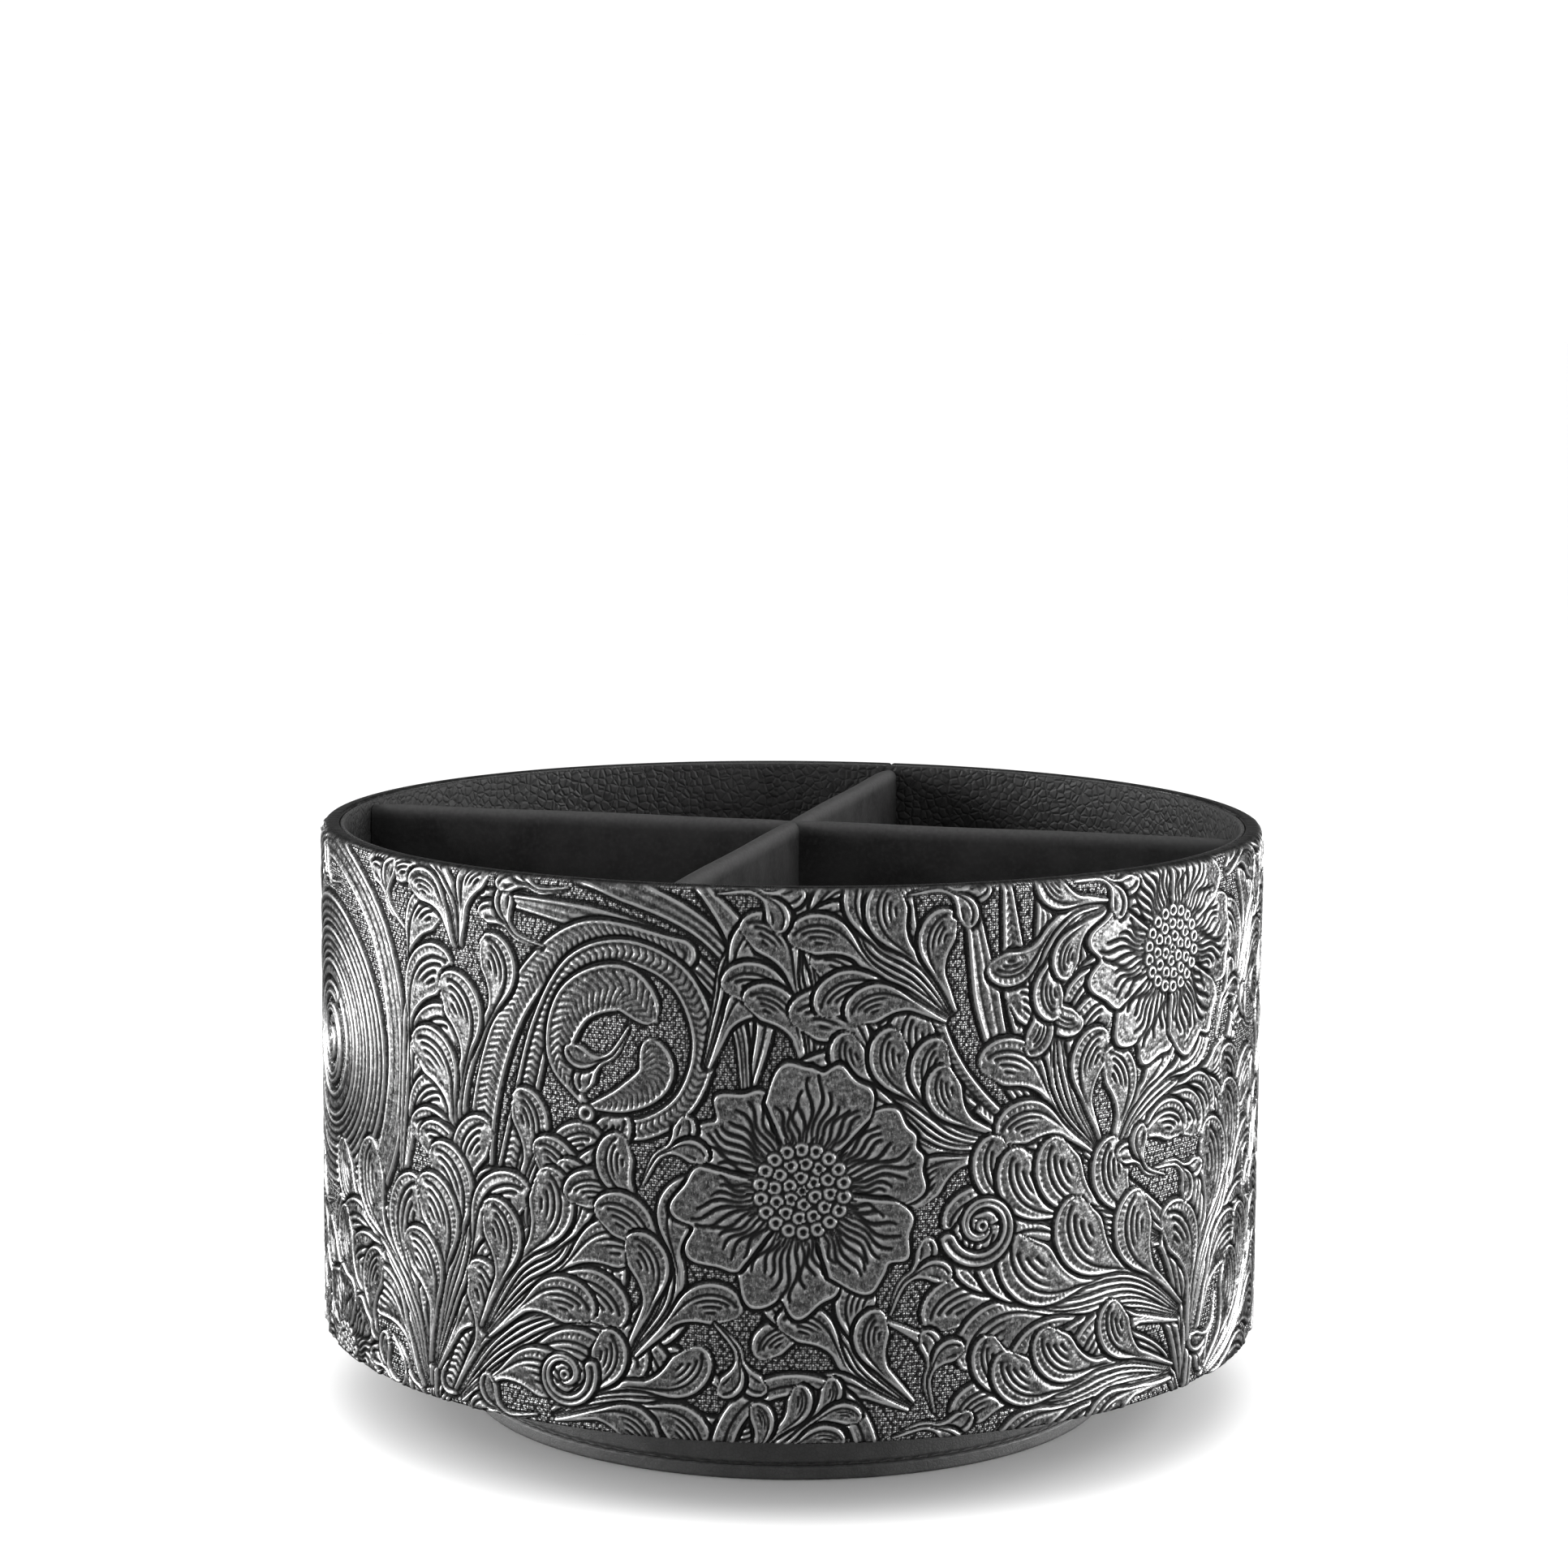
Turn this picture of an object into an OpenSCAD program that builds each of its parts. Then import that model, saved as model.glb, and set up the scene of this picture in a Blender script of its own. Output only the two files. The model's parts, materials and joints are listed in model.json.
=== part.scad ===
// Rotating desk organizer: a round four-compartment drum that turns on a
// ball-bearing turntable, over a smaller covered base disc.
// Millimetres. Origin: centre of the resting face. +Z is up, and the long
// divider lies along X.

/* [Drum] */
// Outside diameter of the covered drum
drum_d = 170; // [150:1:200]
// Height of the rim above the table
total_h = 106; // [95:1:125]
// Thickness of the rolled fibreboard wall
wall_t = 2.4; // [2:0.1:4]
// Thickness of the embossed cover
cover_t = 0.9; // [0.6:0.1:1.2]
// Width of the butt seam where the two ends of the embossed cover meet
seam_gap = 0.4; // [0.3:0.1:0.8]
// Thickness of the fibreboard floor
floor_t = 4; // [3:0.5:6]
// Thickness of the lining on the wall
wall_lining_t = 0.8; // [0.5:0.1:1.2]
// Thickness of the lining on the floor
floor_lining_t = 0.6; // [0.5:0.1:1]
// Radius of the roll on the outside of the rim
rim_roll = 1.7; // [1:0.1:2.2]

/* [Dividers] */
// Thickness of each divider with its fabric
divider_t = 3.4; // [3:0.1:5]
// Thickness of the fabric on each face of a divider
divider_cover_t = 0.6; // [0.4:0.1:0.8]
// Depth of the divider tops below the rim
divider_drop = 0.8; // [0.3:0.1:6]

/* [Base] */
// Diameter of the covered base disc
base_d = 116.8; // [110:0.2:130]
// Height of the base's top face above the table
base_h = 8; // [7:0.1:9]
// Thickness of the leather on the base
base_cover_t = 0.8; // [0.6:0.1:1]
// Height of the stitched seam above the table
seam_z = 3; // [2.2:0.1:3]
// Diameter of the sewing thread
thread_d = 0.4; // [0.3:0.05:0.5]
// Thickness of the anti-slip pad
pad_t = 0.6; // [0.6:0.1:1]
// Diameter of the anti-slip pad
pad_d = 108; // [100:1:110]

/* [Turntable bearing] */
// Thickness of each pressed steel plate
plate_t = 1; // [0.8:0.1:1.2]
// Side of each square plate
plate_side = 70; // [66:1:72]
// Clear height between the two plates
plate_gap = 5; // [4.8:0.1:5.4]
// Radius of the circle that the balls run on
race_r = 25; // [22:1:27]
// Number of balls
ball_count = 20; // [12:1:22]
// Diameter of each ball
ball_d = 4; // [3.5:0.1:4]
// Radius of the shoulder of the centre rivet
rivet_r = 7; // [6:0.5:8]
// Distance of each plate screw from the centre
screw_circle_r = 40; // [38:1:41]

/* [Hidden] */
$fn = 128;

glue = 0.02;                 // gap left for the glue between glued skins
run_gap = 0.05;              // running clearance of the swivel
ball_gap = 0.06;             // clearance between a ball and its races
slot_gap = 0.1;              // width to spare in the dividers' cross-lap slots
arc_steps = 8;               // straight pieces in each rounded corner

drum_r = drum_d / 2;
wall_r = drum_r - cover_t - glue;           // outside of the wall
wall_in_r = wall_r - wall_t;                // inside of the wall
room_r = wall_in_r - glue - wall_lining_t;  // inside of the lined drum

base_r = base_d / 2;
base_board_r = base_r - base_cover_t - glue;
base_board_z = pad_t + base_cover_t + glue;
base_board_top = base_h - base_cover_t - glue;

lower_plate_z = base_h;
lower_plate_top = lower_plate_z + plate_t;
upper_plate_z = lower_plate_top + plate_gap;
upper_plate_top = upper_plate_z + plate_t;
ball_z = lower_plate_top + plate_gap / 2;
race_h = 1.5;                // height of the raised race on each plate
race_w = 8;                  // width of the raised race
cage_t = 0.9;
cage_w = 6.8;

underside_t = 0.7;           // leather under the drum
underside_r = drum_r - 9;
drum_z = upper_plate_top - 0.2;             // lowest face of the drum
floor_z = upper_plate_top + underside_t;    // lowest face of wall and floor
floor_top = floor_z + floor_t;
room_z = floor_top + glue + floor_lining_t;
wall_top = total_h - cover_t - glue;

divider_top = total_h - divider_drop;
divider_h = divider_top - room_z;
divider_half = sqrt(pow(room_r - run_gap, 2) - pow(divider_t / 2, 2));
divider_mid = room_z + divider_h / 2;
board_t = divider_t - 2 * divider_cover_t;
board_top = divider_top - divider_cover_t;

access_r = 5;                // hole that lets a driver reach the upper screws
screw_r = 1.5;
screw_hole_r = 1.7;
screw_head_r = 2.8;
screw_head_h = 1.4;
plate_corner_r = 46;         // circle that rounds the plates' corners
rivet_bore_r = 3.4;
rivet_tail_r = 5;
rivet_flange_t = 0.7;
recess_r = 10;               // room for the rivet's top flange

// Points of a quarter circle about centre c, from angle a to angle a + 90.
function corner(c, r, a) =
    [for (i = [0:arc_steps]) let (t = a + 90 * i / arc_steps) [c.x + r * cos(t), c.y + r * sin(t)]];

// A flat ring between two radii.
module ring(r_in, r_out, z, h) {
    translate([0, 0, z]) difference() {
        cylinder(r = r_out, h = h);
        translate([0, 0, -1]) cylinder(r = r_in, h = h + 2);
    }
}

// A vertical hole, cut with room to spare at both ends.
module hole(x, y, r, z, h) {
    translate([x, y, z]) cylinder(r = r, h = h);
}

// Four copies of the children, a quarter turn apart, from the angle given.
module four_around(start) {
    for (i = [0:3]) rotate([0, 0, start + 90 * i]) children();
}

// ---------- drum ----------

module drum_wall() {
    color("#8a6f52") ring(wall_in_r, wall_r, floor_z, wall_top - floor_z);
}

module drum_floor() {
    color("#8a6f52") difference() {
        translate([0, 0, floor_z]) cylinder(r = wall_in_r - glue, h = floor_t);
        hole(0, 0, recess_r, floor_z - 1, 1.7);
        four_around(0) hole(screw_circle_r, 0, screw_r, floor_z - 1, 4.4);
    }
}

// The embossed wrap: turned under the wall, up its side and over the rim. Its
// two ends meet at a shallow seam on the +Y side.
module outer_cover() {
    turn_r = underside_r + 0.1;
    lip_in = wall_in_r;
    inner_roll = 0.7;
    outline = concat(
        [[turn_r, drum_z]],
        [[drum_r - cover_t, drum_z]],
        corner([drum_r - cover_t, drum_z + cover_t], cover_t, 270),
        corner([drum_r - rim_roll, total_h - rim_roll], rim_roll, 0),
        corner([lip_in + inner_roll, total_h - inner_roll], inner_roll, 90),
        [[lip_in, wall_top + glue]],
        [[drum_r - cover_t, wall_top + glue]],
        [[drum_r - cover_t, floor_z - glue]],
        [[turn_r, floor_z - glue]]
    );
    color("#77787a") difference() {
        rotate_extrude() polygon(outline);
        translate([-seam_gap / 2, drum_r - 0.3, drum_z + 2]) cube([seam_gap, 2, total_h - drum_z - 4]);
    }
}

module wall_lining() {
    top = total_h - 0.3;
    round_r = wall_lining_t / 2;
    outline = concat(
        [[room_r, floor_top + glue], [wall_in_r - glue, floor_top + glue]],
        corner([wall_in_r - glue - round_r, top - round_r], round_r, 0),
        corner([room_r + round_r, top - round_r], round_r, 90)
    );
    color("#1c1c1d") rotate_extrude() polygon(outline);
}

module floor_lining() {
    color("#1c1c1d") translate([0, 0, floor_top + glue])
        cylinder(r = room_r - glue, h = floor_lining_t);
}

module underside_cover() {
    color("#202021") difference() {
        ring(recess_r, underside_r, upper_plate_top, underside_t - glue);
        four_around(0) hole(screw_circle_r, 0, screw_hole_r, upper_plate_top - 1, 3);
    }
}

// ---------- dividers ----------

// Cross-section of a divider of thickness t with a round top edge.
module divider_section(t, top) {
    translate([-t / 2, room_z + glue]) square([t, top - t / 2 - room_z - glue]);
    translate([0, top - t / 2]) circle(d = t, $fn = 64);
}

// The covered divider's envelope, along X, with its half of the cross-lap.
module divider_body(t, top, slot_low) {
    slot_w = divider_t + slot_gap;
    slot_z = slot_low ? room_z - 1 : divider_mid;
    slot_h = divider_h / 2 + 1;
    difference() {
        translate([-divider_half, 0, 0]) rotate([90, 0, 90])
            linear_extrude(height = 2 * divider_half) divider_section(t, top);
        translate([-slot_w / 2, -divider_t, slot_z]) cube([slot_w, 2 * divider_t, slot_h]);
    }
}

module divider_board(slot_low) {
    color("#8a6f52") divider_body(board_t - 2 * glue, board_top - glue, slot_low);
}

// Fabric over both faces and the top edge of a board.
module divider_cover(slot_low) {
    color("#2a2a2b") difference() {
        divider_body(divider_t, divider_top, slot_low);
        translate([-drum_r, 0, 0]) rotate([90, 0, 90])
            linear_extrude(height = drum_d) {
                translate([-board_t / 2, room_z - 1])
                    square([board_t, board_top - board_t / 2 - room_z + 1]);
                translate([0, board_top - board_t / 2]) circle(d = board_t, $fn = 64);
            }
    }
}

module long_divider_board() { divider_board(false); }
module long_divider_cover() { divider_cover(false); }
module cross_divider_board() { rotate([0, 0, 90]) divider_board(true); }
module cross_divider_cover() { rotate([0, 0, 90]) divider_cover(true); }

// ---------- turntable bearing ----------

// A square plate with its corners cut to a circle, drawn about its centre.
module plate_outline() {
    intersection() {
        square(plate_side, center = true);
        circle(r = plate_corner_r);
    }
}

// The groove that the balls run in, on both plates.
module race_groove() {
    translate([0, 0, ball_z]) rotate_extrude()
        translate([race_r, 0]) circle(r = ball_d / 2 + ball_gap, $fn = 64);
}

// A plate at height z with its holes, and a raised race that starts at race_z
// and stands race_h clear of the plate.
module bearing_plate(z, race_z, centre_hole_r, turn) {
    difference() {
        union() {
            rotate([0, 0, turn]) translate([0, 0, z])
                linear_extrude(height = plate_t) plate_outline();
            ring(race_r - race_w / 2, race_r + race_w / 2, race_z, race_h + plate_t / 2);
        }
        race_groove();
        hole(0, 0, centre_hole_r, z - 1, plate_t + 2);
        four_around(turn + 45) hole(screw_circle_r, 0, screw_hole_r, z - 1, plate_t + 2);
    }
}

module bearing_upper_plate() {
    color("#a9abad")
        bearing_plate(upper_plate_z, upper_plate_z - race_h, rivet_r + run_gap, 45);
}

module bearing_lower_plate() {
    color("#a9abad")
        bearing_plate(lower_plate_z, lower_plate_top - plate_t / 2, rivet_tail_r + glue, 0);
}

module ball_cage() {
    color("#d8d4c6") difference() {
        ring(race_r - cage_w / 2, race_r + cage_w / 2, ball_z - cage_t / 2, cage_t);
        for (i = [0:ball_count - 1]) rotate([0, 0, 360 * i / ball_count])
            hole(race_r, 0, ball_d / 2 + 0.1, ball_z - cage_t, 2 * cage_t);
    }
}

module bearing_balls() {
    color("#c9ccd0") for (i = [0:ball_count - 1]) rotate([0, 0, 360 * i / ball_count])
        translate([race_r, 0, ball_z]) sphere(d = ball_d, $fn = 48);
}

// Holds the two plates together: a shoulder that the upper plate turns on, a
// flange over that plate, and a tail flared under the lower plate.
module centre_rivet() {
    tail_z = base_h - rivet_flange_t;
    shoulder_top = upper_plate_top + run_gap;
    color("#b9bbbe") difference() {
        union() {
            translate([0, 0, tail_z]) cylinder(r = rivet_r - 0.5, h = rivet_flange_t - glue);
            translate([0, 0, tail_z]) cylinder(r = rivet_tail_r, h = plate_t + rivet_flange_t + 0.5);
            translate([0, 0, lower_plate_top + glue])
                cylinder(r = rivet_r, h = shoulder_top - lower_plate_top - glue + 0.2);
            translate([0, 0, shoulder_top]) cylinder(r = rivet_r + 2.2, h = rivet_flange_t);
        }
        hole(0, 0, rivet_bore_r, 0, drum_r);
    }
}

// A pan-head screw standing on its point at -length, its head above z = 0.
module pan_screw(length) {
    pitch = 1;
    core_r = 1.15;
    tip = 1.5;
    turns = floor((length - tip) / pitch);
    profile = concat(
        [[0, -length]],
        [[core_r, -length + tip]],
        [for (i = [turns:-1:1]) each [
            [core_r, -i * pitch],
            [screw_r - glue, -i * pitch + pitch / 2]
        ]],
        [[core_r, 0], [screw_head_r, 0], [screw_head_r, screw_head_h * 0.45],
         [screw_head_r * 0.78, screw_head_h * 0.85], [screw_head_r * 0.4, screw_head_h],
         [0, screw_head_h]]
    );
    difference() {
        rotate_extrude() polygon(profile);
        for (a = [0, 90]) rotate([0, 0, a]) translate([-1.6, -0.3, screw_head_h - 0.8])
            cube([3.2, 0.6, 1]);
    }
}

// Screws that hold the upper plate to the drum, heads down.
module upper_plate_screws() {
    color("#c9ccd0") four_around(0) translate([screw_circle_r, 0, upper_plate_z - glue])
        mirror([0, 0, 1]) pan_screw(4.8);
}

// Screws that hold the lower plate to the base, heads up.
module lower_plate_screws() {
    color("#c9ccd0") four_around(45) translate([screw_circle_r, 0, lower_plate_top + glue])
        pan_screw(5);
}

// ---------- base ----------

// Pilot holes for the lower screws, and the driver's access hole.
module base_holes(z, h, pilot_r) {
    hole(screw_circle_r, 0, access_r, z, h);
    four_around(45) hole(screw_circle_r, 0, pilot_r, z, h);
}

module base_board() {
    color("#8a6f52") difference() {
        translate([0, 0, base_board_z]) cylinder(r = base_board_r, h = base_board_top - base_board_z);
        base_holes(base_board_z - 1, base_h, screw_r);
    }
}

// Leather over the top and the side of the base, down to the seam.
module base_cover() {
    round_r = 0.7;
    outline = concat(
        [[rivet_r + 1.5, base_board_top + glue], [base_board_r + glue, base_board_top + glue]],
        [[base_board_r + glue, seam_z + thread_d / 2]],
        [[base_r, seam_z + thread_d / 2]],
        corner([base_r - round_r, base_h - round_r], round_r, 0),
        [[rivet_r + 1.5, base_h]]
    );
    color("#262627") difference() {
        rotate_extrude() polygon(outline);
        base_holes(base_board_top - 1, 3, screw_hole_r);
    }
}

// Leather under the base, turned up at its edge to the seam.
module base_bottom_cover() {
    round_r = 0.5;
    outline = concat(
        [[0, pad_t]],
        corner([base_r - round_r, pad_t + round_r], round_r, 270),
        [[base_r, seam_z - thread_d / 2]],
        [[base_board_r + glue, seam_z - thread_d / 2]],
        [[base_board_r + glue, pad_t + base_cover_t]],
        [[0, pad_t + base_cover_t]]
    );
    color("#262627") difference() {
        rotate_extrude() polygon(outline);
        hole(screw_circle_r, 0, access_r, pad_t - 1, 3);
    }
}

// The thread of the seam, lying between the two leathers.
module base_seam_thread() {
    color("#0d0d0e") translate([0, 0, seam_z]) rotate_extrude()
        translate([base_r - thread_d, 0]) circle(d = thread_d - glue, $fn = 24);
}

module anti_slip_pad() {
    color("#3a3a3b") cylinder(d = pad_d, h = pad_t);
}

drum_wall();
drum_floor();
outer_cover();
wall_lining();
floor_lining();
underside_cover();
long_divider_board();
cross_divider_board();
long_divider_cover();
cross_divider_cover();
bearing_upper_plate();
upper_plate_screws();
ball_cage();
bearing_balls();
bearing_lower_plate();
centre_rivet();
lower_plate_screws();
base_board();
base_cover();
base_bottom_cover();
base_seam_thread();
anti_slip_pad();
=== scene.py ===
import json
import math
import bpy
import numpy as np
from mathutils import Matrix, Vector

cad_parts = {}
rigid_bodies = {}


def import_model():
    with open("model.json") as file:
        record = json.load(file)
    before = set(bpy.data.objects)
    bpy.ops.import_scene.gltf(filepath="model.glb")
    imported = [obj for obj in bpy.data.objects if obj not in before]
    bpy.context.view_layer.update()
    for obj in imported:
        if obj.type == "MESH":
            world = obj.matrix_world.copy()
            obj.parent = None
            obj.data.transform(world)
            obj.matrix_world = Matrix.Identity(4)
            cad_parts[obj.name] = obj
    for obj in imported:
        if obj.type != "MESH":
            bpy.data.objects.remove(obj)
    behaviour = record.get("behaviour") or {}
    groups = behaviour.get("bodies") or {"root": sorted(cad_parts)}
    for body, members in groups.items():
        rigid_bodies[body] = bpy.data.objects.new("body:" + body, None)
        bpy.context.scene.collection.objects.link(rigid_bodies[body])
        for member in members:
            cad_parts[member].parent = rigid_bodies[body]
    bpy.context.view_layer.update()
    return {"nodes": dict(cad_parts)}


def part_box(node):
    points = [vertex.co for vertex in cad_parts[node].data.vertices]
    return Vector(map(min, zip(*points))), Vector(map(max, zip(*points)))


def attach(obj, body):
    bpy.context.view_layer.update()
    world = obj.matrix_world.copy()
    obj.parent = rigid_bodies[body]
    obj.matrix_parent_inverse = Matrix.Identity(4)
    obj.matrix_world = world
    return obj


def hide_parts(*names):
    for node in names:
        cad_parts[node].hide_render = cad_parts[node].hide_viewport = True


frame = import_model()

# ---------- sizes, in millimetres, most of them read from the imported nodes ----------


def extent(node):
    """Outer radius, lowest and highest point of a round CAD node, in millimetres."""
    low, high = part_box(node)
    return 1000 * high.x, 1000 * low.z, 1000 * high.z


MM = 0.001
DRUM_R, DRUM_Z0, DRUM_Z1 = extent("outer_cover")
LINING_R, LINING_Z0, LINING_Z1 = extent("wall_lining")
ROOM_R = extent("floor_lining")[0]
DIVIDER_R, DIVIDER_Z0, DIVIDER_Z1 = extent("long_divider_cover")
DIVIDER_T = 2000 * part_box("long_divider_cover")[1].y
BASE_R, SEAM_LOW, BASE_TOP = extent("base_cover")
BASE_BOTTOM = extent("base_bottom_cover")[1]
COVER_T = 0.9             # thickness of the embossed cover
RIM_ROLL = 1.7            # radius of the roll outside the rim
INNER_ROLL = 0.7          # radius of the roll inside the rim
FOOT_ROLL = 0.9           # radius of the fold under the wall
TURN_UNDER = 8.9          # how far the cover is turned in under the wall
LIP_R = LINING_R + 0.02   # inside of the cover's lip
BASE_T = 0.8              # thickness of the base's leather
BASE_COLS = 720           # vertices round the base's leather
STITCHES = 120            # stitches round the base
AZIMUTH = 14.0            # the camera's direction round the drum, in degrees

# the camera, the lamps' aim and the backdrop, in metres and degrees
CAMERA_AWAY = 0.6573      # from the drum's axis
CAMERA_UP = 0.1957
CAMERA_TILT = 7.27        # below the horizon
CAMERA_ROLL = 0.4
LAMP_AIM_Z = 0.06         # the height that every lamp is aimed at
FLOOR_TONE = 0.90
SKY_STRENGTH = 1.12       # with the floor's tone, this makes floor and sky equally white

# ---------- relief of the embossed cover ----------
#
# A map of heights over the flat cover. x runs round the drum, rightwards as seen from
# outside, with 0 at the front. y is the height over the drum's foot. The whole
# pattern is laid twice round the drum. Everything is in millimetres.

REPEAT = math.pi * DRUM_R
TALL = DRUM_Z1 - DRUM_Z0
PITCH = 0.225
NU = int(round(REPEAT / PITCH))
NV = int(round(TALL / PITCH)) + 1
DU = REPEAT / NU
DV = TALL / (NV - 1)
CUT = 0.42                # depth of the cut round a motif
LEVEL = 0.30              # height of a motif's face over the ground
LINE_W = 0.38             # half width of a cut along a ribbon

height = np.zeros((NV, NU))
ink = np.zeros((NV, NU))    # 1 where the dark stain stays
ground = np.ones((NV, NU))  # 1 where no motif lies


def smooth_step(x):
    x = np.clip(x, 0, 1)
    return x * x * (3 - 2 * x)


def hump(x, middle, wide):
    """1 at the middle, and soon 0 further off than wide."""
    return np.exp(-(((x - middle) / wide) ** 2))


def soft_noise(table, u, v):
    """Smooth values between a table's numbers, at its columns u and rows v. It meets at the sides."""
    wide = table.shape[1]
    iu, iv = u.astype(int), v.astype(int)
    fu, fv = smooth_step(u - iu)[None, :], smooth_step(v - iv)[:, None]

    def corner(down, right):
        return table[(iv + down)[:, None], ((iu + right) % wide)[None, :]]

    low = corner(0, 0) * (1 - fu) + corner(0, 1) * fu
    high = corner(1, 0) * (1 - fu) + corner(1, 1) * fu
    return low * (1 - fv) + high * fv


def spline(points, count=60):
    """Points along a smooth curve through the control points."""
    p = np.array(points, float)
    if len(p) == 2:
        t = np.linspace(0, 1, count)[:, None]
        return p[0] * (1 - t) + p[1] * t
    ext = np.vstack([2 * p[0] - p[1], p, 2 * p[-1] - p[-2]])
    out = []
    for i in range(len(p) - 1):
        a, b, c, d = ext[i : i + 4]
        n = max(2, int(count / (len(p) - 1)))
        t = np.linspace(0, 1, n, endpoint=i == len(p) - 2)[:, None]
        square = 2 * b + (c - a) * t + (2 * a - 5 * b + 4 * c - d) * t**2
        out.append(0.5 * (square + (3 * b - a - 3 * c + d) * t**3))
    return np.vstack(out)


def nearest(curve, reach):
    """The cells round a curve, as an index of the map, with the distance of each from the curve,
    the share of the curve's length at the nearest point and the side it is on; and that length."""
    lo, hi = curve.min(0) - reach, curve.max(0) + reach
    i0, i1 = int(math.floor(lo[0] / DU)), int(math.ceil(hi[0] / DU))
    j0, j1 = max(0, int(math.floor(lo[1] / DV))), min(NV - 1, int(math.ceil(hi[1] / DV)))
    if j1 < j0:
        return None
    cols, rows = np.arange(i0, i1 + 1), np.arange(j0, j1 + 1)
    x, y = cols * DU, rows * DV
    best = np.full((len(rows), len(cols)), 1e9, np.float32)
    along = np.zeros_like(best)
    side = np.zeros_like(best)
    step = np.hypot(*np.diff(curve, axis=0).T)
    total = max(step.sum(), 1e-9)
    start = 0.0

    def window(p, q, cell, first, count):
        """The cells that a piece of the curve from p to q can reach."""
        low, high = int((min(p, q) - reach) / cell), int((max(p, q) + reach) / cell)
        return max(0, low - first), min(count, high - first + 2)

    for a, b, length in zip(curve[:-1], curve[1:], step):
        if length < 1e-9:
            continue
        c0, c1 = window(a[0], b[0], DU, i0, len(cols))
        r0, r1 = window(a[1], b[1], DV, j0, len(rows))
        if c1 <= c0 or r1 <= r0:
            start += length
            continue
        px, py = x[None, c0:c1] - a[0], y[r0:r1, None] - a[1]
        dx, dy = (b - a) / length
        t = np.clip(px * dx + py * dy, 0, length)
        ex, ey = px - t * dx, py - t * dy
        d = np.hypot(ex, ey)
        cross = dx * py - dy * px
        win = (slice(r0, r1), slice(c0, c1))
        closer = d < best[win]
        best[win] = np.where(closer, d, best[win])
        along[win] = np.where(closer, (start + t) / total, along[win])
        side[win] = np.where(closer, np.sign(cross), side[win])
        start += length
    return np.ix_(rows, cols % NU), best, along, side, total


def lay(at, edge, face, groove=0.36, mark=None):
    """Lays a motif on the cells at: edge is each cell's distance inside its outline (negative
    outside), face its height. mark is ink on the face."""
    h, k, g = height[at], ink[at], ground[at]
    cut = hump(edge, -0.5 * groove, groove)
    inside = edge > -0.05
    near = edge > -1.2
    lip = 0.16 * hump(edge, 0.48, 0.27) - 0.05 * hump(edge, 1.15, 0.4)
    ease = smooth_step((edge + 0.05) / 0.42)
    new = np.where(inside, -0.05 + (face + lip + 0.05) * ease, h) - CUT * cut
    new = np.where(inside, new, np.minimum(h, h * (1 - cut) - CUT * cut * 0.9))
    height[at] = np.where(near, new, h)
    dark = np.where(inside, 0 if mark is None else mark, k)
    ink[at] = np.where(near, np.maximum(dark, cut), k)
    ground[at] = np.where(inside, 0, g)


def groove(points, width=0.45, depth=0.34, taper=(0.25, 1.0, 0.25), count=40, raw=False):
    """A cut along a curve, whose width follows taper: start, middle and end."""
    curve = np.array(points, float) if raw else spline(points, count)
    found = nearest(curve, 1.6 * width + 0.6)
    if found is None:
        return
    at, d, t, _, _ = found
    start, middle, end = taper
    bow = np.sin(np.pi * t)
    w = width * np.where(t < 0.5, start + (middle - start) * bow, end + (middle - end) * bow)
    w = np.maximum(w, 0.05)
    cut = np.exp(-((d / w) ** 2) * 1.4) * np.clip(w / width * 1.6, 0, 1)
    lip = 0.35 * hump(d, 1.7 * w, 0.5 * w + 0.08) * np.clip(w / width * 1.3, 0, 1)
    h = height[at]
    height[at] = np.minimum(h, LEVEL - depth * cut) * cut + (h + 0.3 * depth * lip) * (1 - cut)
    ink[at] = np.maximum(ink[at] * (1 - 0.6 * lip), cut)


def ribbon(points, width, lines=(), hatch=0.0, slant=0.0, dome=0.05, count=60, raw=False, fringe=0.0):
    """A band along a curve. width is half its breadth: a number, or a function of the share of
    the length. lines are offsets, as shares of that, of cuts along it. hatch is the pitch of
    strokes across it, fringe that of short strokes that stand on its outline."""
    curve = np.array(points, float) if raw else spline(points, count)
    fixed = np.isscalar(width)
    widest = width if fixed else max(width(v) for v in np.linspace(0, 1, 21))
    found = nearest(curve, widest + 1.4)
    if found is None:
        return
    at, d, t, side, total = found
    shares = np.linspace(0, 1, 61)
    half = width if fixed else np.interp(t, shares, [width(v) for v in shares])
    edge = half - d
    across = side * d / np.maximum(half, 1e-3)
    face = LEVEL + dome * (1 - across * across)
    mark = np.zeros_like(face)
    if hatch:
        wave = 0.5 + 0.5 * np.cos(2 * np.pi * (t * total / hatch + np.abs(across) * slant))
        amount = np.clip((edge - 0.55) / 0.35, 0, 1)
        face = face - 0.20 * amount * wave
        mark = np.maximum(mark, 0.85 * amount * wave**2)
    if fringe:
        wave = 0.5 + 0.5 * np.cos(2 * np.pi * t * total / fringe)
        amount = np.clip((edge - 0.75) / 0.25, 0, 1) * np.clip((2.1 - edge) / 0.9, 0, 1)
        amount = amount * np.clip(half - 1.6, 0, 1)
        face = face - 0.15 * amount * wave
        mark = np.maximum(mark, 0.75 * amount * wave**2)
    closed = np.allclose(curve[0], curve[-1])
    for line in lines:
        fade = 1.0 if closed else np.clip(1.25 - 0.9 * t, 0, 1)
        w = LINE_W * np.clip(half / 1.6, 0.35, 1)
        cut = np.exp(-(((across - line) * half / w) ** 2) * 1.4) * (edge > 0.1) * fade
        face = face - 0.30 * cut
        mark = np.maximum(mark, cut)
    lay(at, edge, face, np.clip(0.26 * half, 0.15, 0.36), mark)


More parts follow.
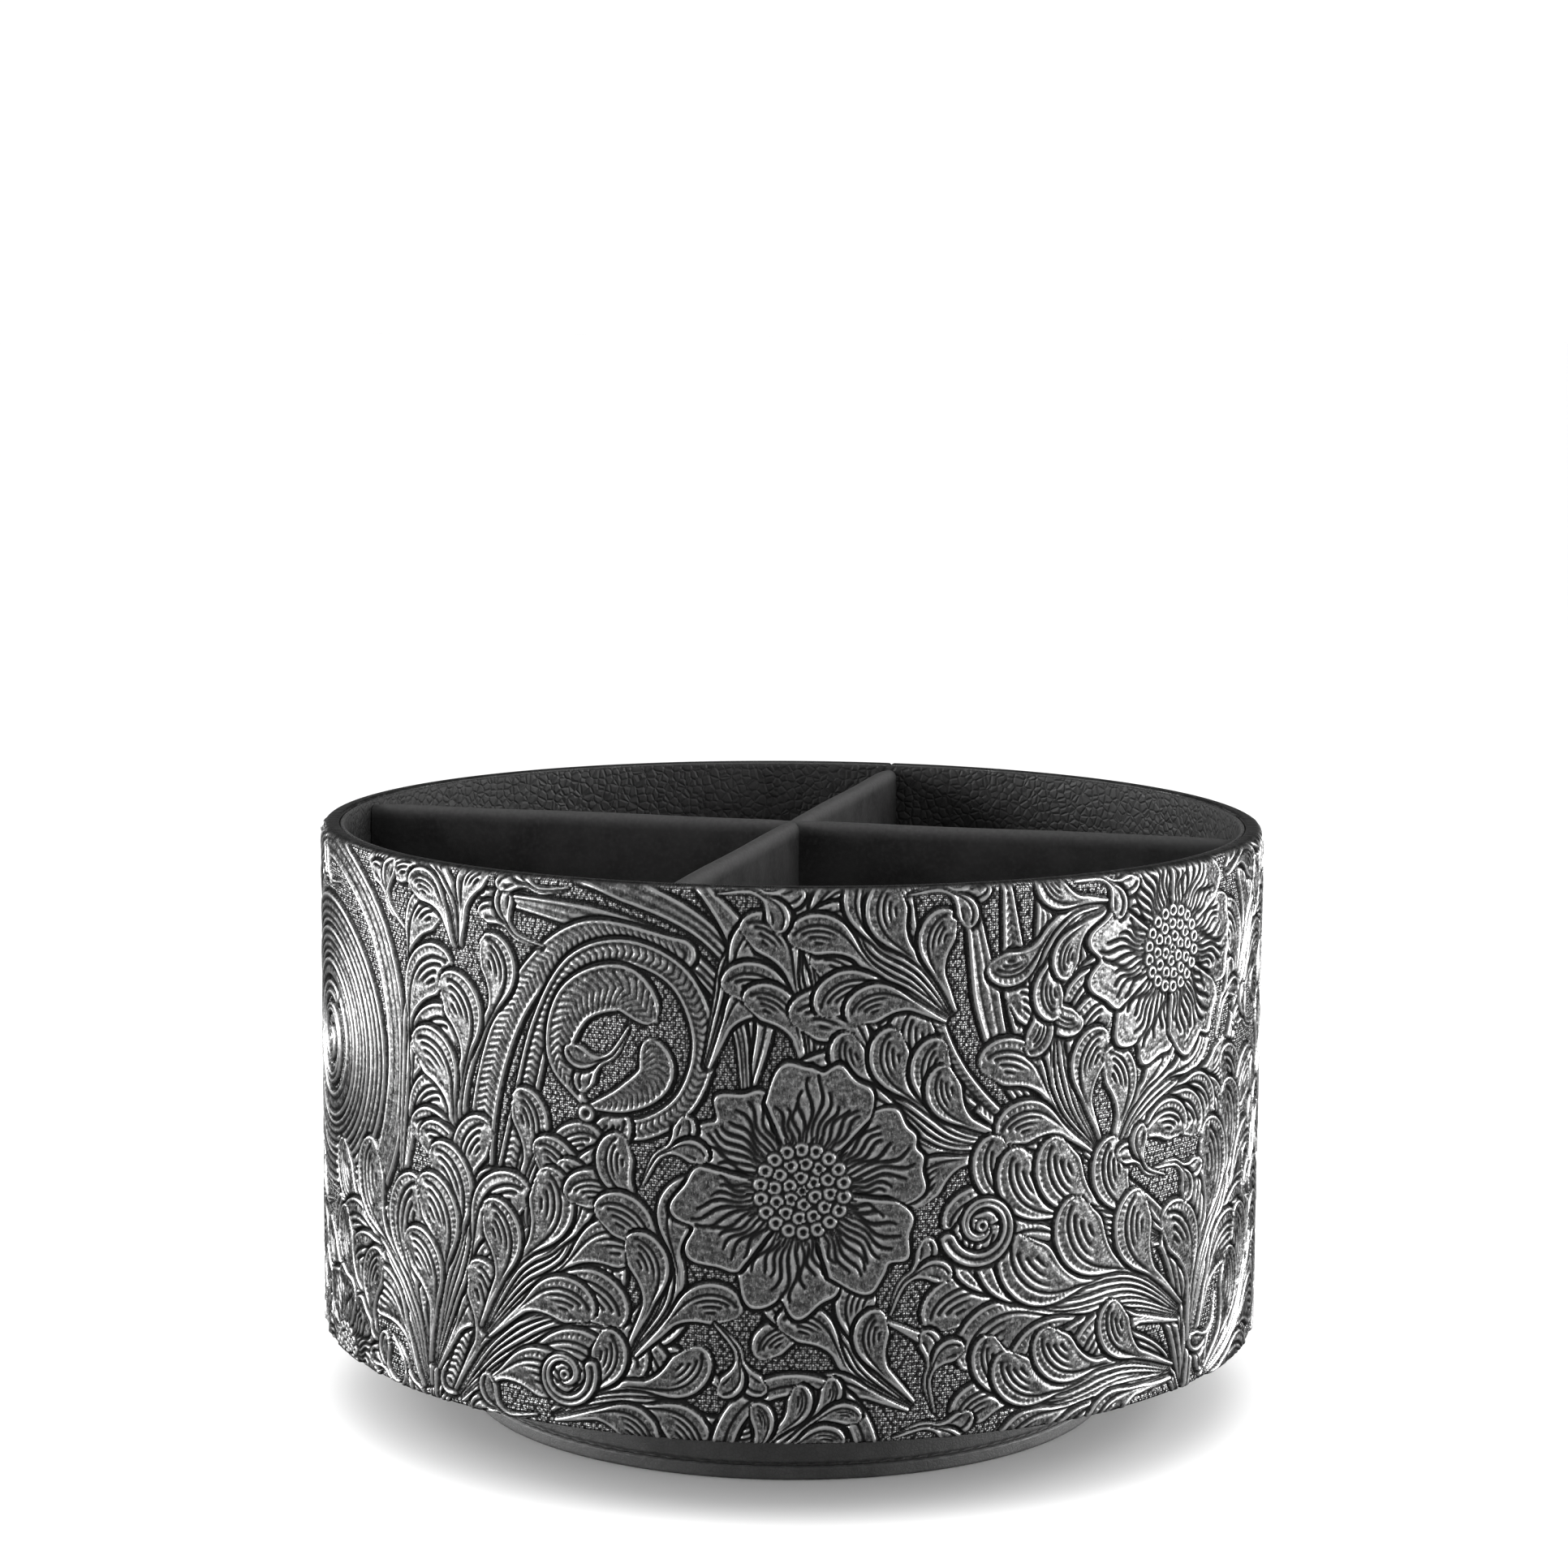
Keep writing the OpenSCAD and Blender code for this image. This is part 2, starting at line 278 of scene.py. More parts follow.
def curl(start, aim, length, bend, count, ramp):
    """A curve from start that sets off at aim degrees and turns by bend degrees over its length.
    With ramp over 1 it turns more and more."""
    t = np.linspace(0, 1, count)
    a = np.radians(aim + bend * t**ramp)
    step = length / (count - 1)
    x = start[0] + np.concatenate([[0], np.cumsum(np.cos(a[:-1]))]) * step
    y = start[1] + np.concatenate([[0], np.cumsum(np.sin(a[:-1]))]) * step
    return np.stack([x, y], 1)


def offset(line, amount):
    """A curve beside a curve, by an amount that may change along it."""
    n = np.stack([-np.gradient(line[:, 1]), np.gradient(line[:, 0])], 1)
    n /= np.maximum(np.hypot(*n.T), 1e-9)[:, None]
    return line + n * np.reshape(amount, (-1, 1))


def hook_width(share, full, strand):
    """Half width along a finger whose first share is a thin strand and whose rest is a swelling hook."""

    def width(t):
        if t < share:
            return strand * (0.45 + 0.55 * t / max(share, 1e-6))
        u = (t - share) / (1 - share)
        grow = strand + (full - strand) * math.sin(math.pi / 2 * min(1.0, u / 0.62)) ** 1.5
        end = max(0.0, (u - 0.66) / 0.34)
        return grow * math.sqrt(max(0.0, 1 - end * end))

    return width


def strand_finger(lane, side, length, full, strand, bend, cuts):
    """A finger that runs beside the others along its lane, then hooks outward to a round end."""
    d = lane[-1] - lane[-3] if len(lane) > 3 else lane[-1] - lane[0]
    aim = math.degrees(math.atan2(d[1], d[0])) + side * 6
    hook = curl(lane[-1], aim, length, side * bend, count=max(14, int(length * 2.2)), ramp=1.7)
    path = np.vstack([lane[:-1], hook])
    step = np.hypot(*np.diff(path, axis=0).T)
    total = step.sum()
    share = step[: len(lane) - 1].sum() / total
    wide = hook_width(share, full, strand)
    ribbon(path, wide, dome=0.03, raw=True, fringe=0.72)
    at = np.concatenate([[0], np.cumsum(step)]) / total
    half = np.array([wide(t) for t in at])
    for k in range(cuts):
        off = 0.42 - 0.84 * k / (cuts - 1)
        first = share * 0.6 if k == 0 else share + (1 - share) * (0.20 + 0.09 * k)
        last = share + (1 - share) * (0.90 - 0.07 * k)
        keep = (at > first) & (at < last)
        if keep.sum() > 4:
            line = offset(path, -side * off * half)[keep]
            groove(line, width=min(0.46, 0.15 * full), taper=(0.12, 0.75, 1.0), raw=True)


def plume(points, size, fingers=4, sides=(1, -1), bend=105, width=0.28, cuts=4, lane=1.65, tip=True):
    """A leaf: strands that share a foot and peel off one after another into hooked fingers."""
    line = spline(points, 90)
    n = len(line)
    small = 0.62
    if tip:
        strand_finger(line[: int(n * 0.80)], sides[0], size * 0.85, size * 0.17, lane * 0.55, 35, cuts)
    for k in range(fingers):
        share = 0.86 - 0.62 * k / max(1, fingers - 1)
        grow = small + (1 - small) * math.sin(math.pi * (0.12 + 0.70 * (k + 0.5) / fingers))
        for side in sides:
            stop = max(6, int(share * n))
            t = np.linspace(0, 1, n)[:stop]
            out = side * lane * (0.22 + 0.78 * np.minimum(1, 2.2 * t)) * (0.5 + 0.95 * k) * (1 - 0.25 * t)
            full = size * grow * width
            strand_finger(offset(line[:stop], out), side, size * grow, full, lane * 0.60, bend, cuts)


def fan(foot, width, tops, hatch=0.0):
    """Stems that leave one foot side by side and spread. Each top is the way points that it
    passes. Every second stem has one line along it, and strokes across it where hatch is given."""

    def half(t):
        return width * (0.30 + 0.70 * min(1.0, 1.6 * t)) * (1 - 0.8 * max(0.0, t - 0.6) / 0.4)

    for k, top in enumerate(tops):
        if k % 2:
            ribbon([foot, *top], half, lines=(0.0,), hatch=hatch, slant=1.3)
        else:
            ribbon([foot, *top], half, lines=(-0.35, 0.35))


def stipple(pitch=0.9, rise=0.10, dent=0.06):
    """Fine matting on the ground between the motifs: small raised grains in uneven rows."""
    y, x = np.mgrid[0:NV, 0:NU]
    across = int(np.round(REPEAT / pitch))
    px, py = REPEAT / across, pitch * 0.8
    u, v = x * DU / px, y * DV / py
    iu, iv = np.floor(u).astype(int), np.floor(v).astype(int)
    table = np.random.default_rng(11).random((across, int(TALL / py) + 4, 3))
    best = np.full(u.shape, 9.0)
    tone = np.zeros(u.shape)
    for a in (-1, 0, 1):
        for b in (-1, 0, 1):
            r = table[(iu + a) % across, np.clip(iv + b, 0, table.shape[1] - 1)]
            ox = iu + a + 0.5 + 0.5 * ((iv + b) % 2) - 0.25 + (r[..., 0] - 0.5) * 0.5
            oy = iv + b + 0.5 + (r[..., 1] - 0.5) * 0.35
            d = np.hypot((u - ox) * px, (v - oy) * py * 1.15)
            closer = d < best
            best = np.where(closer, d, best)
            tone = np.where(closer, r[..., 2], tone)
    grain = hump(best, 0, 0.33 * pitch)
    height[:] = height + ground * (rise * grain * (0.6 + 0.6 * tone) - dent)
    ink[:] = np.where(ground > 0.5, np.maximum(ink, (1 - grain) * 0.85), ink)


def mottle(amount=0.035):
    """Soft unevenness on the motifs' faces, as hand tooling leaves."""
    gen = np.random.default_rng(5)
    total = np.zeros((NV, NU))
    for cell, share in ((3.2, 0.3), (1.3, 0.35), (0.7, 0.45)):
        wide, tall = int(round(REPEAT / cell)), int(TALL / cell) + 3
        table = gen.random((tall + 1, wide)) - 0.5
        total += share * soft_noise(table, np.arange(NU) * wide / NU, np.arange(NV) * DV / cell)
    height[:] = height + (1 - ground) * amount * 2.6 * total * (1 - ink)


def cells_round(x, y, reach):
    """The cells within reach of a point, as an index of the map, with where each lies from it."""
    rows = np.arange(max(0, int((y - reach) / DV)), min(NV - 1, int((y + reach) / DV)) + 1)
    cols = np.arange(int((x - reach) / DU), int((x + reach) / DU) + 1)
    return np.ix_(rows, cols % NU), cols[None, :] * DU - x, rows[:, None] * DV - y


def bubble(x, y, r):
    """A small raised ring with a dimple."""
    at, px, py = cells_round(x, y, 2 * r)
    d = np.hypot(px, py)
    ring = hump(d, 0.62 * r, 0.30 * r)
    over = d < 1.15 * r
    height[at] = np.where(over, -0.05 + 0.5 * ring, height[at])
    ink[at] = np.where(over, 1 - ring, ink[at])
    ground[at] = np.where(over, 0, ground[at])


def ray(x, y, across, a, up=None):
    """Points round a centre, one for each angle of a. across is how far off they are, and up is how
    far off they are upwards where that differs."""
    return np.stack([x + across * np.cos(a), y + (across if up is None else up) * np.sin(a)], 1)


def petal(x, y, r, middle, half, k, veins):
    """Petal number k of a flower, round the bearing middle, half degrees to each side."""
    at, px, py = cells_round(x, y, r * 1.12)
    rad, bearing = np.hypot(px, py), np.degrees(np.arctan2(py, px))
    off = (bearing - middle + 180) % 360 - 180
    t = off / half
    wavy = 1.0 + 0.03 * math.sin(k * 2.4) - 0.26 * np.abs(t) ** 3 + 0.035 * np.cos(3 * np.pi * t + k)
    limit = r * (wavy - 0.085 * hump(t, 0, 0.13))
    edge = np.minimum((limit - rad) * 0.92, (1 - np.abs(t)) * np.radians(half) * rad)
    edge = np.where(np.abs(t) < 1.25, edge, -9)
    face = LEVEL * (0.45 + 0.75 * np.clip(rad / r, 0, 1)) + 0.09 * np.cos(t * np.pi / 2)
    # a broken line that follows the petal's edge, and short strokes that stand on the edge
    inner = hump(edge, 2.3, 0.34) * (rad > 0.45 * r)
    inner = inner * (np.abs(np.sin(3.2 * t + k)) > 0.25)
    strokes = 0.5 + 0.5 * np.cos(2 * math.pi * np.radians(off) * r / 0.8 + 2 * np.sin(rad))
    strokes = strokes * np.clip((edge - 0.7) / 0.3, 0, 1) * np.clip((2.6 - edge) / 1.2, 0, 1)
    face = face - 0.10 * inner - 0.11 * strokes
    mark = np.maximum(0.35 * inner, 0.5 * strokes**2)
    lay(at, edge, face.astype(np.float32), mark=mark.astype(np.float32))
    steps = 14
    for v in range(veins):
        u = (v + 0.5) / veins * 2 - 1
        first, last = r * 0.34, r * (0.86 - 0.22 * abs(u) + 0.07 * math.sin(5.1 * v + 2 * k))
        q = np.linspace(first, last, steps)
        wave = 0.042 * np.sin(np.linspace(0, 8, steps) + v + k) * np.linspace(0.6, 1.1, steps)
        splay = u * 0.22 * ((q - first) / r) ** 1.2
        a = math.radians(middle + u * half * 0.80) + wave + splay
        groove(ray(x, y, q, a), width=0.52, depth=0.36, taper=(0.6, 1.0, 0.7), raw=True)


def flower(x, y, r, petals, turn, rings=3, veins=11):
    """A tooled flower: overlapping wavy petals, radiating cuts and a sunk centre of bubbles."""
    for k in [*range(0, petals, 2), *range(1, petals, 2)]:
        petal(x, y, r, turn + 360.0 * k / petals, 180.0 / petals * 1.12, k, veins)
    centre = r * 0.36
    at, px, py = cells_round(x, y, r * 1.12)
    sunk = np.hypot(px, py) < centre
    height[at] = np.where(sunk, np.minimum(height[at], 0.02), height[at])
    ink[at] = np.where(sunk, 0.7, ink[at])
    ground[at] = np.where(sunk, 0, ground[at])
    gap = centre / (rings + 0.35)
    for ring in range(rings + 1):
        n = 6 * ring or 1
        for i in range(n):
            a = 2 * math.pi * i / n + 0.3 * ring + math.radians(turn)
            bubble(x + ring * gap * math.cos(a), y + ring * gap * math.sin(a), gap * 0.58)
    rays = 12 * (rings + 1)
    for i in range(rays):
        a = 2 * math.pi * (i + 0.5) / rays
        ends = (centre * 1.02, centre * (1.22 + 0.10 * (i % 2)))
        groove([(x + q * math.cos(a), y + q * math.sin(a)) for q in ends], width=0.26, count=4)


def spiral(x, y, r, turns, aim, way, width):
    """A scroll: a band that winds in to a bubble, anticlockwise where way is 1."""
    t = np.linspace(0, 1, int(40 * turns))
    a = math.radians(aim) + way * 2 * math.pi * turns * t
    rad = r * (1 - t) ** 0.85 + width * 0.5
    ribbon(ray(x, y, rad, a), lambda s: width * (1 - 0.55 * s), lines=(0.0,), raw=True)
    bubble(x, y, width * 0.8)


def oval(x, y, across, up):
    """A closed oval of points, with its half sizes."""
    return ray(x, y, across, np.linspace(0, 2 * math.pi, 90), up)


def lobe(foot, full, grow):
    """Half width of a lobe of the pod: soon full, and round at its tip."""

    def width(t):
        end = max(0, t - 0.72) ** 2 / 0.28**2
        return foot + full * math.sin(math.pi / 2 * min(1, grow * t)) * math.sqrt(max(0, 1 - end))

    return width


def blur(field, reach, times=2):
    """Means over a square window, repeated. The map wraps round, and its edges repeat."""
    wide = 2 * reach + 1
    for _ in range(times):
        side = np.hstack([field[:, -reach - 1 :], field, field[:, :reach]]).cumsum(1)
        field = (side[:, wide:] - side[:, :-wide]) / wide
        tall = np.vstack([field[:1].repeat(reach + 1, 0), field, field[-1:].repeat(reach, 0)]).cumsum(0)
        field = (tall[wide:] - tall[:-wide]) / wide
    return field


def fill_gaps(count=26, reach=2.6):
    """Small leaves in the widest gaps of the pattern, each laid the long way of its gap."""
    window = int(reach / DU)
    for k in range(count):
        bare = blur(ground, window)
        row, col = np.unravel_index(np.argmax(bare[6:-6]), bare[6:-6].shape)
        row += 6
        if bare[row, col] < 0.80:
            break
        rows = np.clip(np.arange(row - 3 * window, row + 3 * window + 1), 0, NV - 1)
        cols = np.arange(col - 3 * window, col + 3 * window + 1)
        patch = bare[np.ix_(rows, cols % NU)] ** 3
        px, py = (cols - col)[None, :] * DU, (rows - row)[:, None] * DV
        slant = 0.5 * math.atan2(2 * (patch * px * py).sum(), (patch * (px**2 - py**2)).sum())
        if k % 2:
            slant += math.pi
        dx, dy = math.cos(slant), math.sin(slant)
        x, y = col * DU, row * DV
        points = [(x - 5 * dx, y - 5 * dy), (x - 1.0 * dy, y + 1.0 * dx), (x + 3 * dx, y + 3 * dy)]
        plume(points, 7.0, fingers=1, lane=0.8, width=0.30, cuts=2)


def crests():
    """How far each cell stands over its surroundings, or under them: where hands wear the
    silver bright and where the dark stays."""
    return height - blur(height, 2)


def compose():
    """Lays out the whole pattern: stems first, leaves over them, flowers on top."""
    # the big scroll of rings at the left, with the band round it
    band = [(-120, 22), (-134, 36), (-138, 58), (-129, 80), (-106, 90), (-84, 80), (-76, 58), (-82, 36)]
    ribbon([*band, (-98, 27)], 3.0, lines=(-0.45, 0.1, 0.55))
    three = (-0.5, 0.0, 0.5)
    for r, width, lines in ((24, 3.0, three), (18, 2.8, three), (12.5, 2.4, (-0.4, 0.4))):
        ribbon(oval(-107, 55, r, r * 0.95), width, lines=lines, raw=True)
    spiral(-107, 55, 8.5, 2.2, 60, 1, 1.5)
    # stems
    fan((-7, 56), 2.4, [
        [(-6, 72), (-14, 84), (-30, 91), (-56, 97)],
        [(-4, 72), (-9, 84), (-18, 95)],
        [(-9, 70), (-18, 80), (-34, 85), (-60, 88)],
    ])
    fan((52, 44), 2.6, [
        [(42, 52), (34, 66), (28, 96)],
        [(45, 54), (39, 68), (35, 96)],
        [(48, 56), (44, 70), (42, 96)],
        [(38, 50), (26, 62), (20, 78), (18, 96)],
    ], hatch=1.2)
    fan((78, -4), 2.6, [
        [(77, 14), (70, 30), (52, 45)],
        [(74, 12), (64, 26), (44, 42)],
        [(80, 20), (84, 40), (96, 64), (100, 80)],
        [(82, 16), (90, 36), (104, 56)],
        [(70, 8), (52, 14), (30, 14), (16, 20)],
    ])
    fan((-66, -4), 2.4, [
        [(-62, 10), (-50, 20), (-34, 26)],
        [(-58, 8), (-42, 14), (-24, 16), (-8, 8)],
        [(-68, 12), (-76, 26), (-92, 34)],
    ])
    ribbon([(-52, 24), (-55, 38), (-53, 56), (-46, 72), (-34, 82), (-18, 80)], 2.8, hatch=1.15, slant=1.5)
    ribbon([(-46, 28), (-48, 44), (-45, 58), (-38, 74)], lambda t: 2.4 * (1 - 0.6 * t), lines=(0,))
    # the scroll round the pod
    scroll = [(-62, 4), (-55, 22), (-50, 38), (-46, 53), (-42, 67), (-36, 77)]
    scroll += [(-27, 80), (-18, 76), (-14, 66), (-17, 56), (-25, 51), (-33, 53)]
    ribbon(scroll, lambda t: 2.7 * (1 - 0.3 * t), lines=(-0.55, 0.55), hatch=1.25, slant=0.9, count=120)
    # leaves, each by its size, its fingers on a side, its settings and the way of its middle
    leaves = [
        (17, 4, dict(sides=(-1,), bend=120, tip=False), (-76, 34), (-75, 50), (-74, 66), (-72, 84)),
        (16, 4, dict(sides=(1,), bend=115, tip=False), (-54, 30), (-58, 46), (-56, 60), (-48, 74)),
        (13, 3, dict(bend=95), (-44, 24), (-45, 36), (-41, 46), (-32, 47)),
        (19, 4, {}, (-68, 2), (-72, 14), (-82, 24), (-96, 28)),
        (17, 4, {}, (-66, 6), (-62, 18), (-58, 30), (-60, 42)),
        (17, 4, {}, (-60, 2), (-50, 12), (-38, 18), (-24, 16)),
        (16, 4, {}, (-54, 14), (-46, 24), (-38, 30), (-36, 42)),
        (14, 3, {}, (-26, 14), (-20, 24), (-22, 34), (-30, 42)),
        (13, 3, {}, (-40, 2), (-30, 6), (-20, 6), (-10, 0)),
        (15, 4, {}, (-84, 2), (-90, 10), (-100, 12), (-112, 10)),
        (13, 3, dict(sides=(-1,)), (-14, 62), (-12, 72), (-10, 80), (-2, 88)),
        (13, 4, {}, (4, 60), (4, 70), (2, 78), (4, 90)),
        (16, 4, {}, (30, 54), (20, 58), (14, 66), (12, 76)),
        (13, 4, {}, (36, 48), (26, 50), (18, 56), (10, 60)),
        (13, 4, {}, (26, 70), (20, 76), (12, 82), (12, 94)),
        (15, 4, {}, (54, 46), (48, 54), (46, 64), (50, 74)),
        (15, 4, {}, (58, 42), (64, 50), (74, 54), (86, 52)),
        (17, 4, {}, (70, 28), (58, 32), (46, 34), (34, 40)),
        (19, 5, {}, (76, 14), (62, 20), (46, 20), (30, 26)),
        (15, 4, {}, (74, 4), (60, 6), (46, 4), (34, 8)),
        (19, 4, {}, (80, 8), (84, 22), (94, 34), (98, 50)),
        (18, 4, {}, (84, 0), (96, 6), (106, 16), (110, 30)),
        (12, 3, {}, (20, 6), (12, 12), (8, 18), (0, 20)),
        (17, 4, {}, (96, 60), (100, 72), (108, 80), (120, 80)),
        (18, 4, {}, (118, -4), (123, 8), (122, 22), (114, 32)),
        (17, 4, {}, (132, -4), (137, 8), (139, 20), (134, 32)),
        (14, 3, {}, (108, 34), (113, 44), (117, 54), (113, 66)),
        (11, 3, {}, (124, 30), (123, 38), (119, 44), (110, 46)),
        (12, 3, {}, (90, 88), (98, 92), (108, 90), (120, 96)),
        (12, 3, {}, (-60, 78), (-62, 86), (-70, 92), (-80, 94)),
        (11, 3, {}, (56, 86), (48, 84), (42, 76), (44, 68)),
    ]
    for size, fingers, settings, *points in leaves:
        plume(points, size, fingers, **settings)
    # the pod in its scroll
    pod = [(-34, 54), (-39, 62), (-36, 71), (-28, 74), (-22, 69)]
    ribbon(pod, lobe(0.5, 3.6, 1.3), hatch=1.3, slant=2.0, fringe=0.8)
    ribbon([(-34, 54), (-27, 56), (-22, 60), (-23, 66)], lobe(0.4, 2.7, 1.5), hatch=0.95, slant=1.4)
    bubble(-34, 53, 1.6)
    # a half oval at the foot, with a leaf in it
    ribbon(oval(1, -3, 12, 13), 2.0, lines=(0.1,), raw=True)
    plume([(-6, -4), (0, 1), (7, 6)], 8, fingers=3)
    spiral(32, 35, 5.5, 1.4, 200, 1, 1.5)
    spiral(-38, 9, 4.5, 1.4, 20, -1, 1.3)
    flower(2, 42, 21, 6, 20)
    flower(72, 77, 20, 6, 0)
    flower(-98, 0, 16, 5, 30)
    fill_gaps()


# ---------- meshes ----------


def link(name, data):
    """An object of a mesh, a lamp or a camera, in the scene."""
    obj = bpy.data.objects.new(name, data)
    bpy.context.scene.collection.objects.link(obj)
    return obj


def make_grid_mesh(name, verts, faces):
    """A smooth mesh of quads from arrays, in millimetres."""
    mesh = bpy.data.meshes.new(name)
    verts = np.asarray(verts, np.float32) * MM
    faces = np.asarray(faces, np.int32)
    mesh.vertices.add(len(verts))
    mesh.vertices.foreach_set("co", verts.ravel())
    mesh.loops.add(faces.size)
    mesh.loops.foreach_set("vertex_index", faces.ravel())
    mesh.polygons.add(len(faces))
    mesh.polygons.foreach_set("loop_start", np.arange(len(faces), dtype=np.int32) * 4)
    mesh.polygons.foreach_set("loop_total", np.full(len(faces), 4, np.int32))
    mesh.polygons.foreach_set("use_smooth", np.full(len(faces), True))
    mesh.update(calc_edges=True)
    mesh.validate()
    return link(name, mesh)


def make_mesh(name, verts, faces):
    """A smooth mesh whose faces may have any number of corners, in millimetres."""
    mesh = bpy.data.meshes.new(name)
    mesh.from_pydata([tuple(v) for v in np.array(verts) * MM], [], [tuple(map(int, f)) for f in faces])
    mesh.polygons.foreach_set("use_smooth", np.full(len(mesh.polygons), True))
    mesh.validate()
    return link(name, mesh)


def add_values(obj, name, values):
    """A number for each vertex, which the materials read by name."""
    layer = obj.data.attributes.new(name, "FLOAT", "POINT")
    layer.data.foreach_set("value", np.asarray(values, np.float32).ravel())


def torus_faces(rows, cols):
    """Quads of a closed band: rows follow the outline round, cols follow the drum round."""
    i, j = np.mgrid[0:rows, 0:cols]
    i2, j2 = (i + 1) % rows, (j + 1) % cols
    quads = np.stack([i * cols + j, i * cols + j2, i2 * cols + j2, i2 * cols + j], -1)
    return quads.reshape(-1, 4)


def lay_flat(obj, outline, cols, across=3, up=2, gap=0.006):
    """A texture layout for a turned skin: cut into panels that fill a grid. The skin's hidden
    inner side takes little room."""
    p = np.array(outline, float)
    outer = p[:, 0] > p[:, 0].max() - 1.0
    step = np.hypot(*(np.roll(p, -1, 0) - p).T) * np.where(outer, 1.0, 0.35)
    along = np.concatenate([[0], step.cumsum()]) / step.sum()
    i, j = np.mgrid[0 : len(p), 0:cols]
    wide = cols // (across * up)
    panel = np.minimum(j // wide, across * up - 1)
    local = (j - panel * wide) / wide
    left, right = local, local + 1 / wide
    low, high = along[i], along[i + 1]
    u = np.stack([left, right, right, left], -1)
    v = np.stack([low, low, high, high], -1)
    u = (panel[..., None] % across + gap + u * (1 - 2 * gap)) / across
    v = (panel[..., None] // across + gap + v * (1 - 2 * gap)) / up
    layer = obj.data.uv_layers.new(name="OFBake")
    layer.data.foreach_set("uv", np.stack([u, v], -1).astype(np.float32).ravel())


def revolve(name, outline, cols, push, start=0.0):
    """A closed outline of (radius, height) points turned round the axis. push moves each
    vertex along the outline's normal."""
    p = np.array(outline, float)
    along = np.roll(p, -1, 0) - np.roll(p, 1, 0)
    along /= np.maximum(np.hypot(*along.T), 1e-9)[:, None]
    normal = np.stack([along[:, 1], -along[:, 0]], 1)
    angle = start + 2 * math.pi * np.arange(cols) / cols
    r = p[:, :1] + normal[:, :1] * push
    z = p[:, 1:] + normal[:, 1:] * push
    verts = np.stack([r * np.cos(angle), r * np.sin(angle), z], -1)
    obj = make_grid_mesh(name, verts.reshape(-1, 3), torus_faces(len(p), cols))
    lay_flat(obj, outline, cols)
    return obj


def arc(cx, cz, r, first, last, count):
    """Points along an arc, from angle first to last in degrees, without its last point."""
    a = np.radians(np.linspace(first, last, count + 1))[:-1]
    return [(cx + r * math.cos(t), cz + r * math.sin(t)) for t in a]


def trace(*parts):
    """Points along a closed outline, and how many there are up to the end of each part. A part is
    the points of an arc, or a corner: radius, height, and the steps to the next part. A corner
    with 0 steps only marks where the part before it leads."""
    outline, ends = [], []
    for part, after in zip(parts, parts[1:] + parts[:1]):
        if isinstance(part, list):
            outline += part
        else:
            x, z, steps = part
            to_x, to_z = after[0] if isinstance(after, list) else after[:2]
            outline += [(x + (to_x - x) * k / steps, z + (to_z - z) * k / steps) for k in range(steps)]
        ends.append(len(outline))
    return outline, ends


# ---------- materials ----------


class Nodes:
    """A short way to build a node material."""

    def __init__(self, name):
        self.material = bpy.data.materials.new(name)
        self.material.use_nodes = True
        self.tree = self.material.node_tree
        self.shader = self.tree.nodes["Principled BSDF"]

    def add(self, kind, inputs=None, **settings):
        node = self.tree.nodes.new("ShaderNode" + kind)
        for key, value in settings.items():
            setattr(node, key, value)
        for key, value in (inputs or {}).items():
            self.put(node.inputs[key], value)
        return node

    def put(self, socket, value):
        if isinstance(value, bpy.types.NodeSocket):
            self.tree.links.new(value, socket)
        else:
            socket.default_value = value

    def place(self):
        """Where a point lies on the object, in metres."""
        return self.add("TexCoord").outputs["Object"]

    def noise(self, scale, detail=3.0, vector=None, rough=0.55):
        inputs = {"Scale": scale, "Detail": detail, "Roughness": rough, "Vector": vector or self.place()}
        return self.add("TexNoise", inputs).outputs["Fac"]

    def cells(self, scale, feature="F1"):
        inputs = {"Scale": scale, "Vector": self.place()}
        return self.add("TexVoronoi", inputs, feature=feature).outputs["Distance"]

    def value(self, name):
        """A value that the mesh keeps for each vertex."""
        return self.add("Attribute", attribute_name=name).outputs["Fac"]

    def math(self, operation, a, b, clamp=False):
        return self.add("Math", {0: a, 1: b}, operation=operation, use_clamp=clamp).outputs[0]

    def times(self, a, b):
        return self.math("MULTIPLY", a, b)

    def plus(self, a, b):
        return self.math("ADD", a, b)

    def span(self, value, low=0.3, high=0.7, to_low=0.0, to_high=1.0):
        """A value between low and high brought to the span from to_low to to_high, and kept in it."""
        inputs = {"Value": value, "From Min": low, "From Max": high, "To Min": to_low, "To Max": to_high}
        return self.add("MapRange", inputs).outputs["Result"]

    def mix(self, share, a, b):
        """Between two colours. A plain number is a grey."""
        a, b = (grey(c) if isinstance(c, float) else c for c in (a, b))
        return self.add("Mix", {"Factor": share, 6: a, 7: b}, data_type="RGBA").outputs[2]

    def bump(self, value, strength, distance):
        inputs = {"Height": value, "Strength": strength, "Distance": distance}
        return self.add("Bump", inputs).outputs["Normal"]

    def set(self, **values):
        """Sets the shader's own inputs, whose names have _ for a space here."""
        for key, value in values.items():
            self.put(self.shader.inputs[key.replace("_", " ")], value)
        return self.material


def grey(value):
    return (value, value, value, 1.0)


